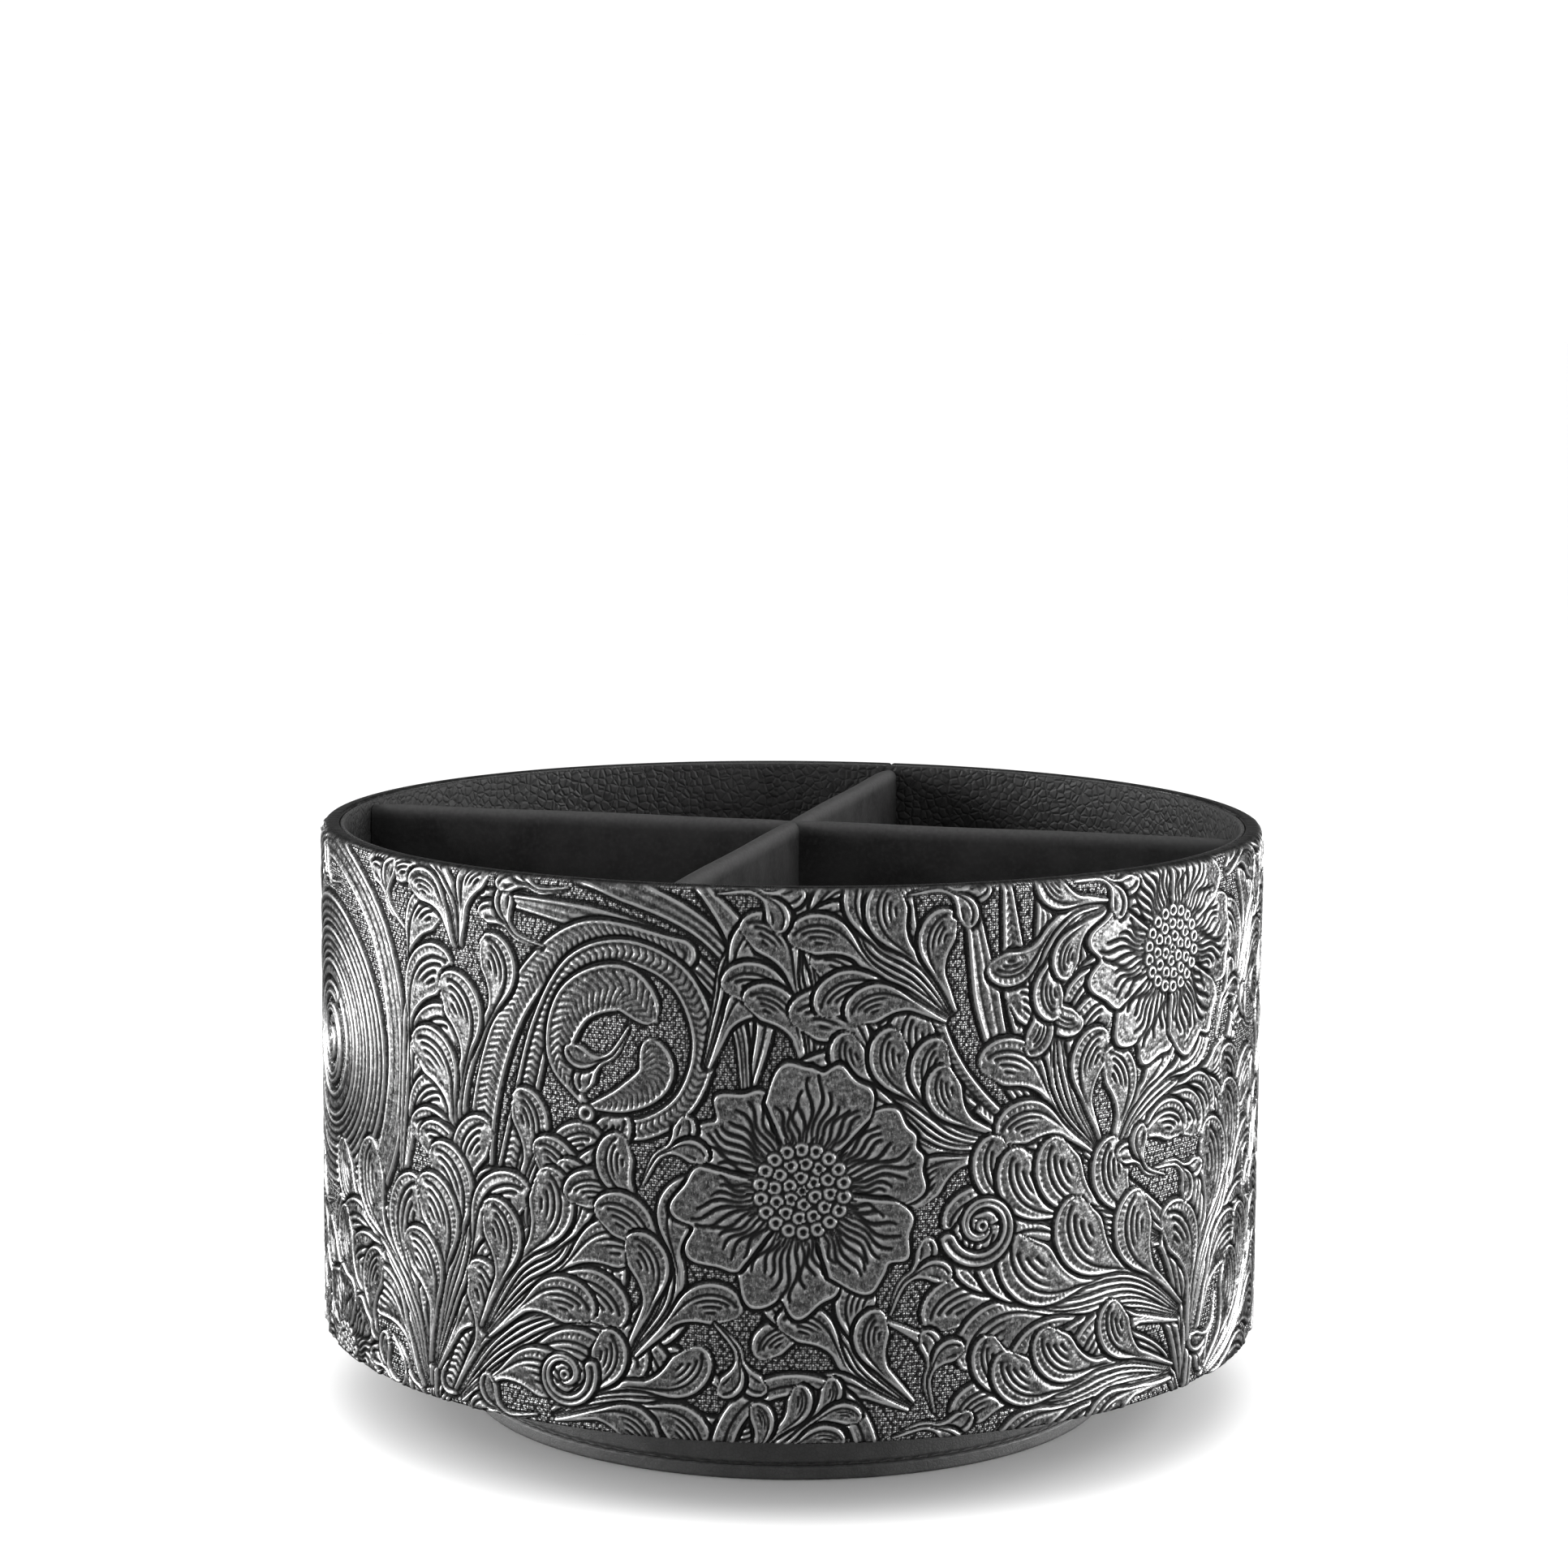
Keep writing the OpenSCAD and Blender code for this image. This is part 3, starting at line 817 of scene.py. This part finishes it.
def embossed_leather():
    """Black stain in the cuts, worn silver on the crests and the matting, dull grey faces, and painted
    shade over the rim.
    """
    n = Nodes("embossed_leather")
    dark, matted, rim, crest = (n.value(name) for name in ("ink", "ground", "rim", "crest"))
    flat = n.add("Attribute", attribute_name="flat").outputs["Vector"]
    blotch = n.noise(0.62, 4.0, flat)
    patch = n.noise(0.09, 3.0, flat)
    fine = n.noise(2.4, 2.0, flat)
    specks = n.noise(1.15, 4.0, flat, 0.7)
    brushed = n.add("Mapping", {"Vector": flat, "Rotation": (0, 0, 0.5), "Scale": (3.2, 1.0, 1.0)})
    strokes = n.noise(1.1, 2.0, brushed.outputs["Vector"])
    beads = n.add("TexVoronoi", {"Scale": 2.5, "Randomness": 0.45, "Vector": flat}, voronoi_dimensions="2D")
    bead = n.span(beads.outputs["Distance"], 0.15, 0.50, 1.0, 0.0)
    # the faces: mottled grey, with larger patches, dark specks, bright specks and brushed strokes
    face = n.mix(n.span(blotch, 0.36, 0.66), 0.013, 0.050)
    face = n.mix(n.span(patch, 0.35, 0.7, 0.0, 0.4), face, 0.055)
    face = n.mix(n.span(specks, 0.52, 0.62, 0.0, 0.85), face, 0.009)
    face = n.mix(n.span(specks, 0.46, 0.36, 0.0, 0.75), face, 0.115)
    face = n.mix(n.span(strokes, 0.55, 0.70, 0.0, 0.60), face, 0.12)
    matting = n.mix(bead, 0.016, 0.23)
    body = n.mix(matted, face, matting)
    body = n.mix(n.times(n.span(crest, 0.045, 0.15), 0.75), body, 0.14)
    hollow = n.span(crest, -0.04, -0.13)
    stain = n.math("MAXIMUM", n.span(dark, 0.25, 0.75), n.times(hollow, 0.75), clamp=True)
    body = n.mix(stain, body, 0.006)
    # painted shade: the roll over the rim, and the plain hidden rows, are darkened towards near black
    body = n.mix(n.times(rim, 0.96), body, 0.030)
    rough = n.plus(n.span(blotch, 0.3, 0.7, 0.30, 0.44), n.times(stain, 0.2))
    grain = n.plus(n.times(fine, 0.6), n.times(blotch, 0.8))
    grain = n.plus(grain, n.times(n.times(bead, matted), 0.9))
    n.set(Base_Color=body, Roughness=rough, Normal=n.bump(grain, 0.6, 0.00012))
    return n.set(Metallic=0.96, Specular_IOR_Level=0.12, Specular_Tint=grey(0.08))


def grained_leather(name, tone, pebble, depth, strength, speck=0.0, shine=0.2):
    """Black artificial leather: pebbles parted by fine creases. pebble is how many there are to
    the metre, and speck the same for dull spots."""
    n = Nodes(name)
    warp = n.noise(pebble * 0.35, 2.0)
    creases = n.cells(pebble, "DISTANCE_TO_EDGE")
    pebbles = n.span(creases, 0.0, 0.22)
    cloud = n.noise(pebble * 0.12, 4.0)
    shade = n.mix(n.span(cloud), tone * 0.72, tone * 1.30)
    # painted shade: the creases between the pebbles are darkened
    shade = n.mix(n.span(creases, 0.0, 0.10, 0.55, 0.0), shade, tone * 0.35)
    if speck:
        spots = n.noise(speck, 3.0)
        shade = n.mix(n.span(spots, 0.52, 0.64, 0.0, 0.75), shade, tone * 0.40)
    relief = n.plus(pebbles, n.times(warp, 0.6))
    n.set(Base_Color=shade, Roughness=n.span(cloud, 0.3, 0.7, 0.52, 0.70))
    return n.set(Normal=n.bump(relief, strength, depth), Specular_IOR_Level=shine)


def suede():
    """Soft black cloth, with a painted highlight along the dividers' top edge."""
    n = Nodes("divider_suede")
    nap = n.noise(1500.0, 4.0)
    brushed = n.noise(130.0, 3.0)
    up = n.add("SeparateXYZ", {"Vector": n.place()}).outputs["Z"]
    # painted highlight: the cloth is made paler along the dividers' top edge
    painted_top_highlight = n.span(up, (DIVIDER_Z1 - 2.6) * MM, (DIVIDER_Z1 - 0.4) * MM)
    cloth = n.mix(n.span(brushed), 0.0055, 0.0095)
    cloth = n.mix(n.span(nap, 0.45, 0.75, 0.0, 0.5), cloth, 0.013)
    cloth = n.mix(n.times(painted_top_highlight, n.span(nap, 0.2, 0.7, 0.55, 1.0)), cloth, 0.021)
    normal = n.bump(n.plus(nap, n.times(brushed, 0.4)), 0.35, 0.00015)
    return n.set(
        Base_Color=cloth, Roughness=n.span(nap, 0.3, 0.7, 0.80, 0.98), Normal=normal, Specular_IOR_Level=0.0
    )


def fibreboard():
    """Pressed brown board: short fibres over faint layers."""
    n = Nodes("fibreboard")
    fibres = n.noise(700.0, 5.0)
    layers = n.noise(90.0, 2.0)
    shade = n.mix(n.span(fibres), (0.30, 0.20, 0.12, 1), (0.46, 0.33, 0.21, 1))
    shade = n.mix(n.span(layers, 0.4, 0.7, 0.0, 0.4), shade, (0.24, 0.15, 0.09, 1))
    rough = n.span(fibres, 0.2, 0.8, 0.75, 0.95)
    return n.set(Base_Color=shade, Roughness=rough, Normal=n.bump(fibres, 0.3, 0.0001))


def metal(name, tone, rough, scratch=2200.0):
    """Steel with a cloudy tone and fine scratches."""
    n = Nodes(name)
    place = n.place()
    streaks = n.noise(scratch, 3.0, place)
    cloud = n.noise(110.0, 3.0, place)
    shade = n.mix(n.span(cloud), tone * 0.86, tone * 1.08)
    cloudy = n.span(cloud, 0.3, 0.7, rough * 0.8, rough * 1.15)
    roughness = n.plus(cloudy, n.span(streaks, 0.3, 0.7, -0.04, 0.06))
    return n.set(Base_Color=shade, Roughness=roughness, Metallic=1.0, Normal=n.bump(streaks, 0.10, 0.00003))


def plastic(name, colour, rough):
    """Moulded plastic with a faint cloud in it."""
    n = Nodes(name)
    cloud = n.noise(260.0, 3.0)
    darker = tuple(c * 0.86 for c in colour)
    shade = n.mix(n.span(cloud), (*darker, 1.0), (*colour, 1.0))
    roughness = n.span(cloud, 0.3, 0.7, rough, rough * 1.3)
    return n.set(Base_Color=shade, Roughness=roughness, Normal=n.bump(cloud, 0.1, 0.00005))


def foam():
    """Dark foam rubber with open pores."""
    n = Nodes("pad_foam")
    pores = n.cells(1400.0)
    cloud = n.noise(200.0, 3.0)
    # painted shade: the pores are darker towards their sunk middles
    shade = n.mix(n.span(pores, 0.1, 0.6), 0.018, 0.05)
    rough = n.span(cloud, 0.3, 0.7, 0.8, 0.95)
    return n.set(Base_Color=shade, Roughness=rough, Normal=n.bump(pores, 0.5, 0.0002))


def twine():
    """Black sewing thread."""
    n = Nodes("black_thread")
    twist = n.noise(3200.0, 2.0)
    shade = n.mix(n.span(twist, 0.35, 0.65), 0.004, 0.014)
    n.set(Base_Color=shade, Roughness=n.span(twist, 0.3, 0.7, 0.55, 0.8), Normal=n.bump(twist, 0.4, 0.0001))
    return n.set(Specular_IOR_Level=0.1)


def dress(obj, material):
    obj.data.materials.clear()
    obj.data.materials.append(material)


# ---------- the embossed cover ----------


def make_cover():
    """The wrap as one closed skin: turned under the wall, up its side, over the rim."""
    inner = DRUM_R - COVER_T
    foot_in = DRUM_R - TURN_UNDER
    side_rows = int(round((TALL - FOOT_ROLL - RIM_ROLL) / DV))
    outline, ends = trace(
        (foot_in, DRUM_Z0, 8),
        arc(DRUM_R - FOOT_ROLL, DRUM_Z0 + FOOT_ROLL, FOOT_ROLL, -90, 0, 6),
        (DRUM_R, DRUM_Z0 + FOOT_ROLL, side_rows),
        arc(DRUM_R - RIM_ROLL, DRUM_Z1 - RIM_ROLL, RIM_ROLL, 0, 90, 12),
        (DRUM_R - RIM_ROLL, DRUM_Z1, 3),
        arc(LIP_R + INNER_ROLL, DRUM_Z1 - INNER_ROLL, INNER_ROLL, 90, 180, 5),
        (LIP_R, DRUM_Z1 - INNER_ROLL, 1),
        (LIP_R, DRUM_Z1 - COVER_T, 2),
        (inner, DRUM_Z1 - COVER_T, 4),
        (inner, DRUM_Z0 + COVER_T, 3),
        (foot_in, DRUM_Z0 + COVER_T, 0),
    )
    foot_end, fold_end, side_end, roll_end, _, inner_end, lip_end = ends[:7]
    rows = np.arange(len(outline))

    # how far over the rim each row lies, and how much of the relief it takes
    over = np.zeros(len(outline))
    over[side_end:roll_end] = np.linspace(0, 1, roll_end - side_end)
    over[roll_end:lip_end] = 1
    takes = np.zeros(len(outline))
    takes[fold_end:roll_end] = 1
    takes[foot_end:fold_end] = np.linspace(0.2, 1, fold_end - foot_end)
    takes *= 1 - smooth_step(over * 1.25)

    # the columns start at the butt seam down the back
    seam_col = int(round(DRUM_R * math.radians(180 - AZIMUTH) / DU))
    row = np.clip((np.array(outline)[:, 1] - DRUM_Z0) / DV, 0, NV - 1)
    below = np.floor(row).astype(int)
    above = np.minimum(below + 1, NV - 1)
    share = (row - below)[:, None]

    def sample(field):
        band = field[below] * (1 - share) + field[above] * share
        return np.roll(np.hstack([band, band]), -seam_col, axis=1)

    cols = 2 * NU
    turn = np.arange(cols) * DU
    seam = hump(np.minimum(turn, cols * DU - turn), 0, 0.26)[None, :]
    seam = seam * ((rows > foot_end) & (rows < inner_end))[:, None]
    push = ((sample(height) - LEVEL) * takes[:, None] - 0.40 * seam) * (rows < inner_end)[:, None]
    start = math.radians(AZIMUTH - 90) + seam_col * DU / DRUM_R
    obj = revolve("embossed_cover", outline, cols, push, start)

    # values for the material: the silver ends at the rim along a slightly ragged line, and rim is a painted
    # shade that darkens the roll over the top
    ragged = np.sin(turn * 2.1) * 0.05 + np.sin(turn * 5.3 + 1) * 0.05 + np.sin(turn * 11.7) * 0.04
    # rim is painted shade over the roll, with the stain halved under it; the plain hidden rows take it in
    # full
    rim = smooth_step((over[:, None] - 0.46 + 1.4 * ragged[None, :] * (over[:, None] < 0.8)) * 2.2)
    rim[:side_end] = 0
    plain = ((rows < foot_end) | (rows >= lip_end))[:, None]
    add_values(obj, "ink", np.maximum(np.where(plain, 0, sample(ink) * (1 - 0.5 * rim)), seam))
    add_values(obj, "ground", np.where(plain, 0, sample(ground)))
    add_values(obj, "rim", np.maximum(rim, plain))
    add_values(obj, "crest", np.where(plain, 0, sample(worn)))
    flat = np.zeros((len(outline), cols, 3), np.float32)
    flat[..., 0] = turn[None, :]
    flat[..., 1] = np.array(outline)[:, 1:]
    layer = obj.data.attributes.new("flat", "FLOAT_VECTOR", "POINT")
    layer.data.foreach_set("vector", flat.ravel())
    return obj


# ---------- lining, dividers, base ----------


def hills(rows, cols, wide, tall, seed):
    """Smooth random heights from -0.5 to 0.5 that meet at the sides."""
    table = np.random.default_rng(seed).random((tall + 1, wide)) - 0.5
    return soft_noise(table, np.arange(cols) * wide / cols, np.arange(rows) * (tall - 1) / rows)


def make_lining():
    """The lining of the wall, with the coarse grain of its face in the mesh."""
    inner, outer = ROOM_R + 0.02, LINING_R
    half = (outer - inner) / 2
    face_rows, cols = 110, 720
    outline, ends = trace(
        (inner, LINING_Z0, 2),
        (outer, LINING_Z0, 4),
        arc(outer - half, LINING_Z1 - half, half, 0, 180, 8),
        (inner, LINING_Z1 - half, face_rows),
    )
    push = np.zeros((len(outline), cols))
    grain = 0.20 * hills(face_rows, cols, 380, 66, 3) + 0.10 * hills(face_rows, cols, 200, 34, 4)
    push[ends[2] :] = -np.abs(grain) * smooth_step(np.linspace(0, 12, face_rows))[:, None]
    return revolve("wall_lining_skin", outline, cols, push)


def make_divider(name, along_x):
    """A fabric-covered divider. Its top is round and its faces bulge a little with the fabric.
    Where the two dividers cross, both keep their full height."""
    half_l, half_t = DIVIDER_R - 0.05, DIVIDER_T / 2 - 0.02
    top = DIVIDER_Z1 - half_t
    section, _ = trace(
        (half_t, DIVIDER_Z0, 40),
        arc(0, top, half_t, 0, 180, 12),
        (-half_t, top, 40),
        (-half_t, DIVIDER_Z0, 2),
    )
    s = np.array(section)
    up = (s[:, 1] - DIVIDER_Z0) / (DIVIDER_Z1 - DIVIDER_Z0)
    rows, cols = 150, len(s)
    stations = np.sin(np.linspace(-1, 1, rows) * math.pi / 2 * 0.94)
    stations = stations / stations[-1] * half_l
    phase = np.random.default_rng(21 if along_x else 22).random(6) * 6
    verts = []
    for x in stations:
        pinch = 1 - 0.10 * hump(abs(x), half_l, 2.2)
        dip = 0.30 * hump(abs(x), half_l, 4.0) + 0.15 * hump(x, 0, 3.0)
        wave = 0.05 * math.sin(x / 9 + phase[0]) + 0.04 * math.sin(x / 4.1 + phase[1])
        y = s[:, 0] * pinch + wave * np.sin(up * 9 + phase[2]) * 0.5
        z = s[:, 1] - dip * up**6 + 0.06 * math.sin(x / 7 + phase[3]) * up**6
        verts.append(np.stack([np.full(cols, x), y, z], 1))
    verts = np.array(verts).reshape(-1, 3)
    i, j = np.mgrid[0 : rows - 1, 0:cols]
    j2 = (j + 1) % cols
    sides = np.stack([i * cols + j, (i + 1) * cols + j, (i + 1) * cols + j2, i * cols + j2], -1)
    faces = [*sides.reshape(-1, 4)]
    # flat ends, as fans round a middle point
    for row, way in ((0, 1), (rows - 1, -1)):
        ring = row * cols + np.arange(cols)
        fan_faces = np.stack([ring, np.roll(ring, -1), np.full(cols, len(verts))], 1)
        faces += [*fan_faces[:, ::way]]
        verts = np.vstack([verts, verts[ring].mean(0)])
    if not along_x:
        verts = np.stack([-verts[:, 1], verts[:, 0], verts[:, 2]], 1)
    return make_mesh(name, verts, faces)


def drawn_in(outline, level, reach, cols):
    """How far the stitches draw the leather in, near the seam's level on the base's side."""
    p = np.array(outline)
    near = hump(p[:, 1], level, reach) * (p[:, 0] > BASE_R - 0.6)
    turn = np.arange(cols) / cols
    return -0.10 * near[:, None] * (0.5 + 0.5 * np.cos(2 * math.pi * STITCHES * turn))[None, :]


def make_base_cover():
    """Leather on the base's top and side, pinched where the seam holds it."""
    outer, low, top = BASE_R, SEAM_LOW - 0.05, BASE_TOP
    round_r, hole = 0.9, 8.5
    bevel_x, bevel_z = 0.25, 0.32
    outline, _ = trace(
        (outer - BASE_T, low, 2),
        (outer - bevel_x, low, 4),
        (outer, low + bevel_z, 14),
        arc(outer - round_r, top - round_r, round_r, 0, 90, 8),
        (outer - round_r, top, 60),
        (hole, top, 1),
        (hole, top - BASE_T, 20),
        (outer - BASE_T, top - BASE_T, 3),
    )
    return revolve("base_leather_top", outline, BASE_COLS, drawn_in(outline, low, 0.9, BASE_COLS))


def make_base_bottom():
    """Leather under the base, turned up to the seam. Its folded edge hangs below its middle."""
    outer, low, top = BASE_R, BASE_BOTTOM, SEAM_LOW - 0.45
    round_r, middle = 0.6, 1.0
    bevel_x, bevel_z = 0.25, 0.28
    edge = low - 0.40
    flat_r = extent("anti_slip_pad")[0] + 0.5
    outline, _ = trace(
        (middle, low, 30),
        (flat_r, low, 6),
        (flat_r + 1.1, edge, 6),
        arc(outer - round_r, edge + round_r, round_r, -90, 0, 8),
        (outer, edge + round_r, 6),
        (outer, top - bevel_z, 3),
        (outer - bevel_x, top, 2),
        (outer - BASE_T, top, 2),
        (outer - BASE_T, low + BASE_T, 20),
        (middle, low + BASE_T, 0),
    )
    return revolve("base_leather_foot", outline, BASE_COLS, drawn_in(outline, top, 0.7, BASE_COLS))


def make_stitches():
    """Thread round the base: a cord in the gap, and stitches that lie a little aslant over it."""
    z, r = SEAM_LOW - 0.2, BASE_R - 0.52
    around, steps = 8, 10
    verts, faces = [], []

    def tube(points, widths):
        """Adds a tube, and gives its end rings of vertices."""
        base = len(verts)
        tangent = np.gradient(points, axis=0)
        tangent /= np.linalg.norm(tangent, axis=1)[:, None]
        out = points * np.array([1, 1, 0])
        out /= np.linalg.norm(out, axis=1)[:, None]
        up = np.cross(tangent, out)
        for p, o, u, w in zip(points, out, up, widths):
            for k in range(around):
                a = 2 * math.pi * k / around
                verts.append(p + w * (math.cos(a) * o + math.sin(a) * u))
        for first in range(base, len(verts) - around, around):
            for k in range(around):
                k2 = (k + 1) % around
                faces.append((first + k, first + k2, first + around + k2, first + around + k))
        return range(base, base + around), range(len(verts) - 1, len(verts) - 1 - around, -1)

    ring = np.linspace(0, 2 * math.pi, 361)
    wave = 0.04 * np.sin(ring * STITCHES)
    tube(np.stack([r * np.cos(ring), r * np.sin(ring), z + wave], 1), np.full(len(ring), 0.40))

    pitch = 2 * math.pi / STITCHES
    lift = np.cos(np.linspace(-1, 1, steps) * math.pi / 2) ** 0.5
    for s in range(STITCHES):
        a = np.linspace(-0.47, 0.47, steps) * pitch + s * pitch
        away = r + 0.32 * lift
        points = np.stack([away * np.cos(a), away * np.sin(a), z + np.linspace(-0.12, 0.12, steps)], 1)
        for end in tube(points, 0.06 + 0.17 * lift):
            for k in range(1, around - 1, 2):
                faces.append((end[0], end[k], end[k + 1], end[k + 2]))
    return make_mesh("base_stitches", verts, faces)


compose()
stipple()
mottle()
worn = crests()


def stand_in(piece, material, body, node):
    """Gives a piece its material and its body, and lets it stand for a CAD node."""
    dress(piece, material)
    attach(piece, body)
    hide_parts(node)


embossed = embossed_leather()
lining_skin = grained_leather("lining_leather", 0.0050, 640.0, 0.00022, 0.7, speck=420.0, shine=0.08)
floor_skin = grained_leather("floor_leather", 0.028, 700.0, 0.00015, 0.5)
base_skin = grained_leather("base_leather", 0.017, 1500.0, 0.00006, 0.35, shine=0.15)
under_skin = grained_leather("underside_leather", 0.022, 1200.0, 0.0001, 0.45)

stand_in(make_cover(), embossed, "drum", "outer_cover")
stand_in(make_lining(), lining_skin, "drum", "wall_lining")
cloth = suede()
for name, along_x in (("long", True), ("cross", False)):
    divider = make_divider(name + "_divider_fabric", along_x)
    stand_in(divider, cloth, "drum", name + "_divider_cover")
stand_in(make_base_cover(), base_skin, "base", "base_cover")
stand_in(make_base_bottom(), base_skin, "base", "base_bottom_cover")
stand_in(make_stitches(), twine(), "base", "base_seam_thread")

board = fibreboard()
plate_metal = metal("plate_steel", 0.55, 0.36)
finishes = {
    "drum_wall": board,
    "drum_floor": board,
    "base_board": board,
    "long_divider_board": board,
    "cross_divider_board": board,
    "floor_lining": floor_skin,
    "underside_cover": under_skin,
    "bearing_upper_plate": plate_metal,
    "bearing_lower_plate": plate_metal,
    "upper_plate_screws": metal("screw_steel", 0.62, 0.28),
    "lower_plate_screws": metal("screw_steel_low", 0.62, 0.28),
    "centre_rivet": metal("rivet_steel", 0.58, 0.30),
    "bearing_balls": metal("ball_steel", 0.70, 0.10, 4000.0),
    "ball_cage": plastic("cage_plastic", (0.62, 0.59, 0.50), 0.42),
    "anti_slip_pad": foam(),
}
for node, material in finishes.items():
    dress(frame["nodes"][node], material)


# ---------- floor, light and camera ----------


def make_floor():
    """A plain pale floor, 80 m across."""
    reach = 40.0 / MM
    corners = [(-reach, -reach, 0), (reach, -reach, 0), (reach, reach, 0), (-reach, reach, 0)]
    floor = make_mesh("floor", corners, [(0, 1, 2, 3)])
    n = Nodes("pale_floor")
    dress(floor, n.set(Base_Color=grey(FLOOR_TONE), Roughness=0.9, Specular_IOR_Level=0.1))


def area_light(name, bearing, distance, z, wide, tall, power, linked=None):
    """A soft box at a bearing round the drum, counted from the camera to the right. It lights
    everything, or only the objects of the collection linked."""
    lamp = bpy.data.lights.new(name, "AREA")
    lamp.shape = "RECTANGLE"
    lamp.size = wide
    lamp.size_y = tall
    lamp.energy = power
    obj = link(name, lamp)
    a = math.radians(AZIMUTH + bearing)
    obj.location = (distance * math.sin(a), -distance * math.cos(a), z)
    aim = Vector((0, 0, LAMP_AIM_Z)) - obj.location
    obj.rotation_euler = aim.to_track_quat("-Z", "Z").to_euler()
    obj.visible_camera = False
    if linked:
        obj.light_linking.receiver_collection = linked


def make_camera():
    data = bpy.data.cameras.new("camera")
    data.sensor_width = 36.0
    data.lens = 83.8
    data.shift_x = -0.0056
    data.clip_start = 0.01
    camera = link("camera", data)
    bpy.context.scene.camera = camera
    turn, tilt = math.radians(AZIMUTH), math.radians(90 - CAMERA_TILT)
    camera.location = (CAMERA_AWAY * math.sin(turn), -CAMERA_AWAY * math.cos(turn), CAMERA_UP)
    camera.rotation_mode = "XYZ"
    forward = Vector((-math.sin(turn) * math.sin(tilt), math.cos(turn) * math.sin(tilt), -math.cos(tilt)))
    camera.rotation_euler = forward.to_track_quat("-Z", "Y").to_euler()
    camera.rotation_euler.rotate_axis("Z", math.radians(CAMERA_ROLL))


make_floor()

# The two strong boxes at the sides light only the object: on the floor they would wash out
# the soft shadow that the sky and the fills leave round the base.
lit = bpy.data.collections.new("lit_by_the_boxes")
for piece in bpy.context.scene.objects:
    if piece.type == "MESH" and piece.name != "floor":
        lit.objects.link(piece)
for side, bearing in (("left", -93), ("right", 93)):
    area_light(side + "_box", bearing, 0.50, 0.14, wide=0.36, tall=0.60, power=23.0, linked=lit)
area_light("top_box", -8, 0.36, 0.80, wide=0.80, tall=0.80, power=3.5)
for side, bearing in (("left", -75), ("right", 75)):
    area_light(side + "_fill", bearing, 0.70, 0.30, wide=0.60, tall=0.60, power=3.4)
area_light("front_fill", 0, 0.95, 0.30, wide=0.80, tall=0.50, power=4.0)

world = bpy.data.worlds.new("studio")
world.use_nodes = True
sky = world.node_tree.nodes["Background"]
sky.inputs["Color"].default_value = grey(1.0)
sky.inputs["Strength"].default_value = SKY_STRENGTH
bpy.context.scene.world = world
bpy.context.scene.view_settings.view_transform = "Standard"

make_camera()
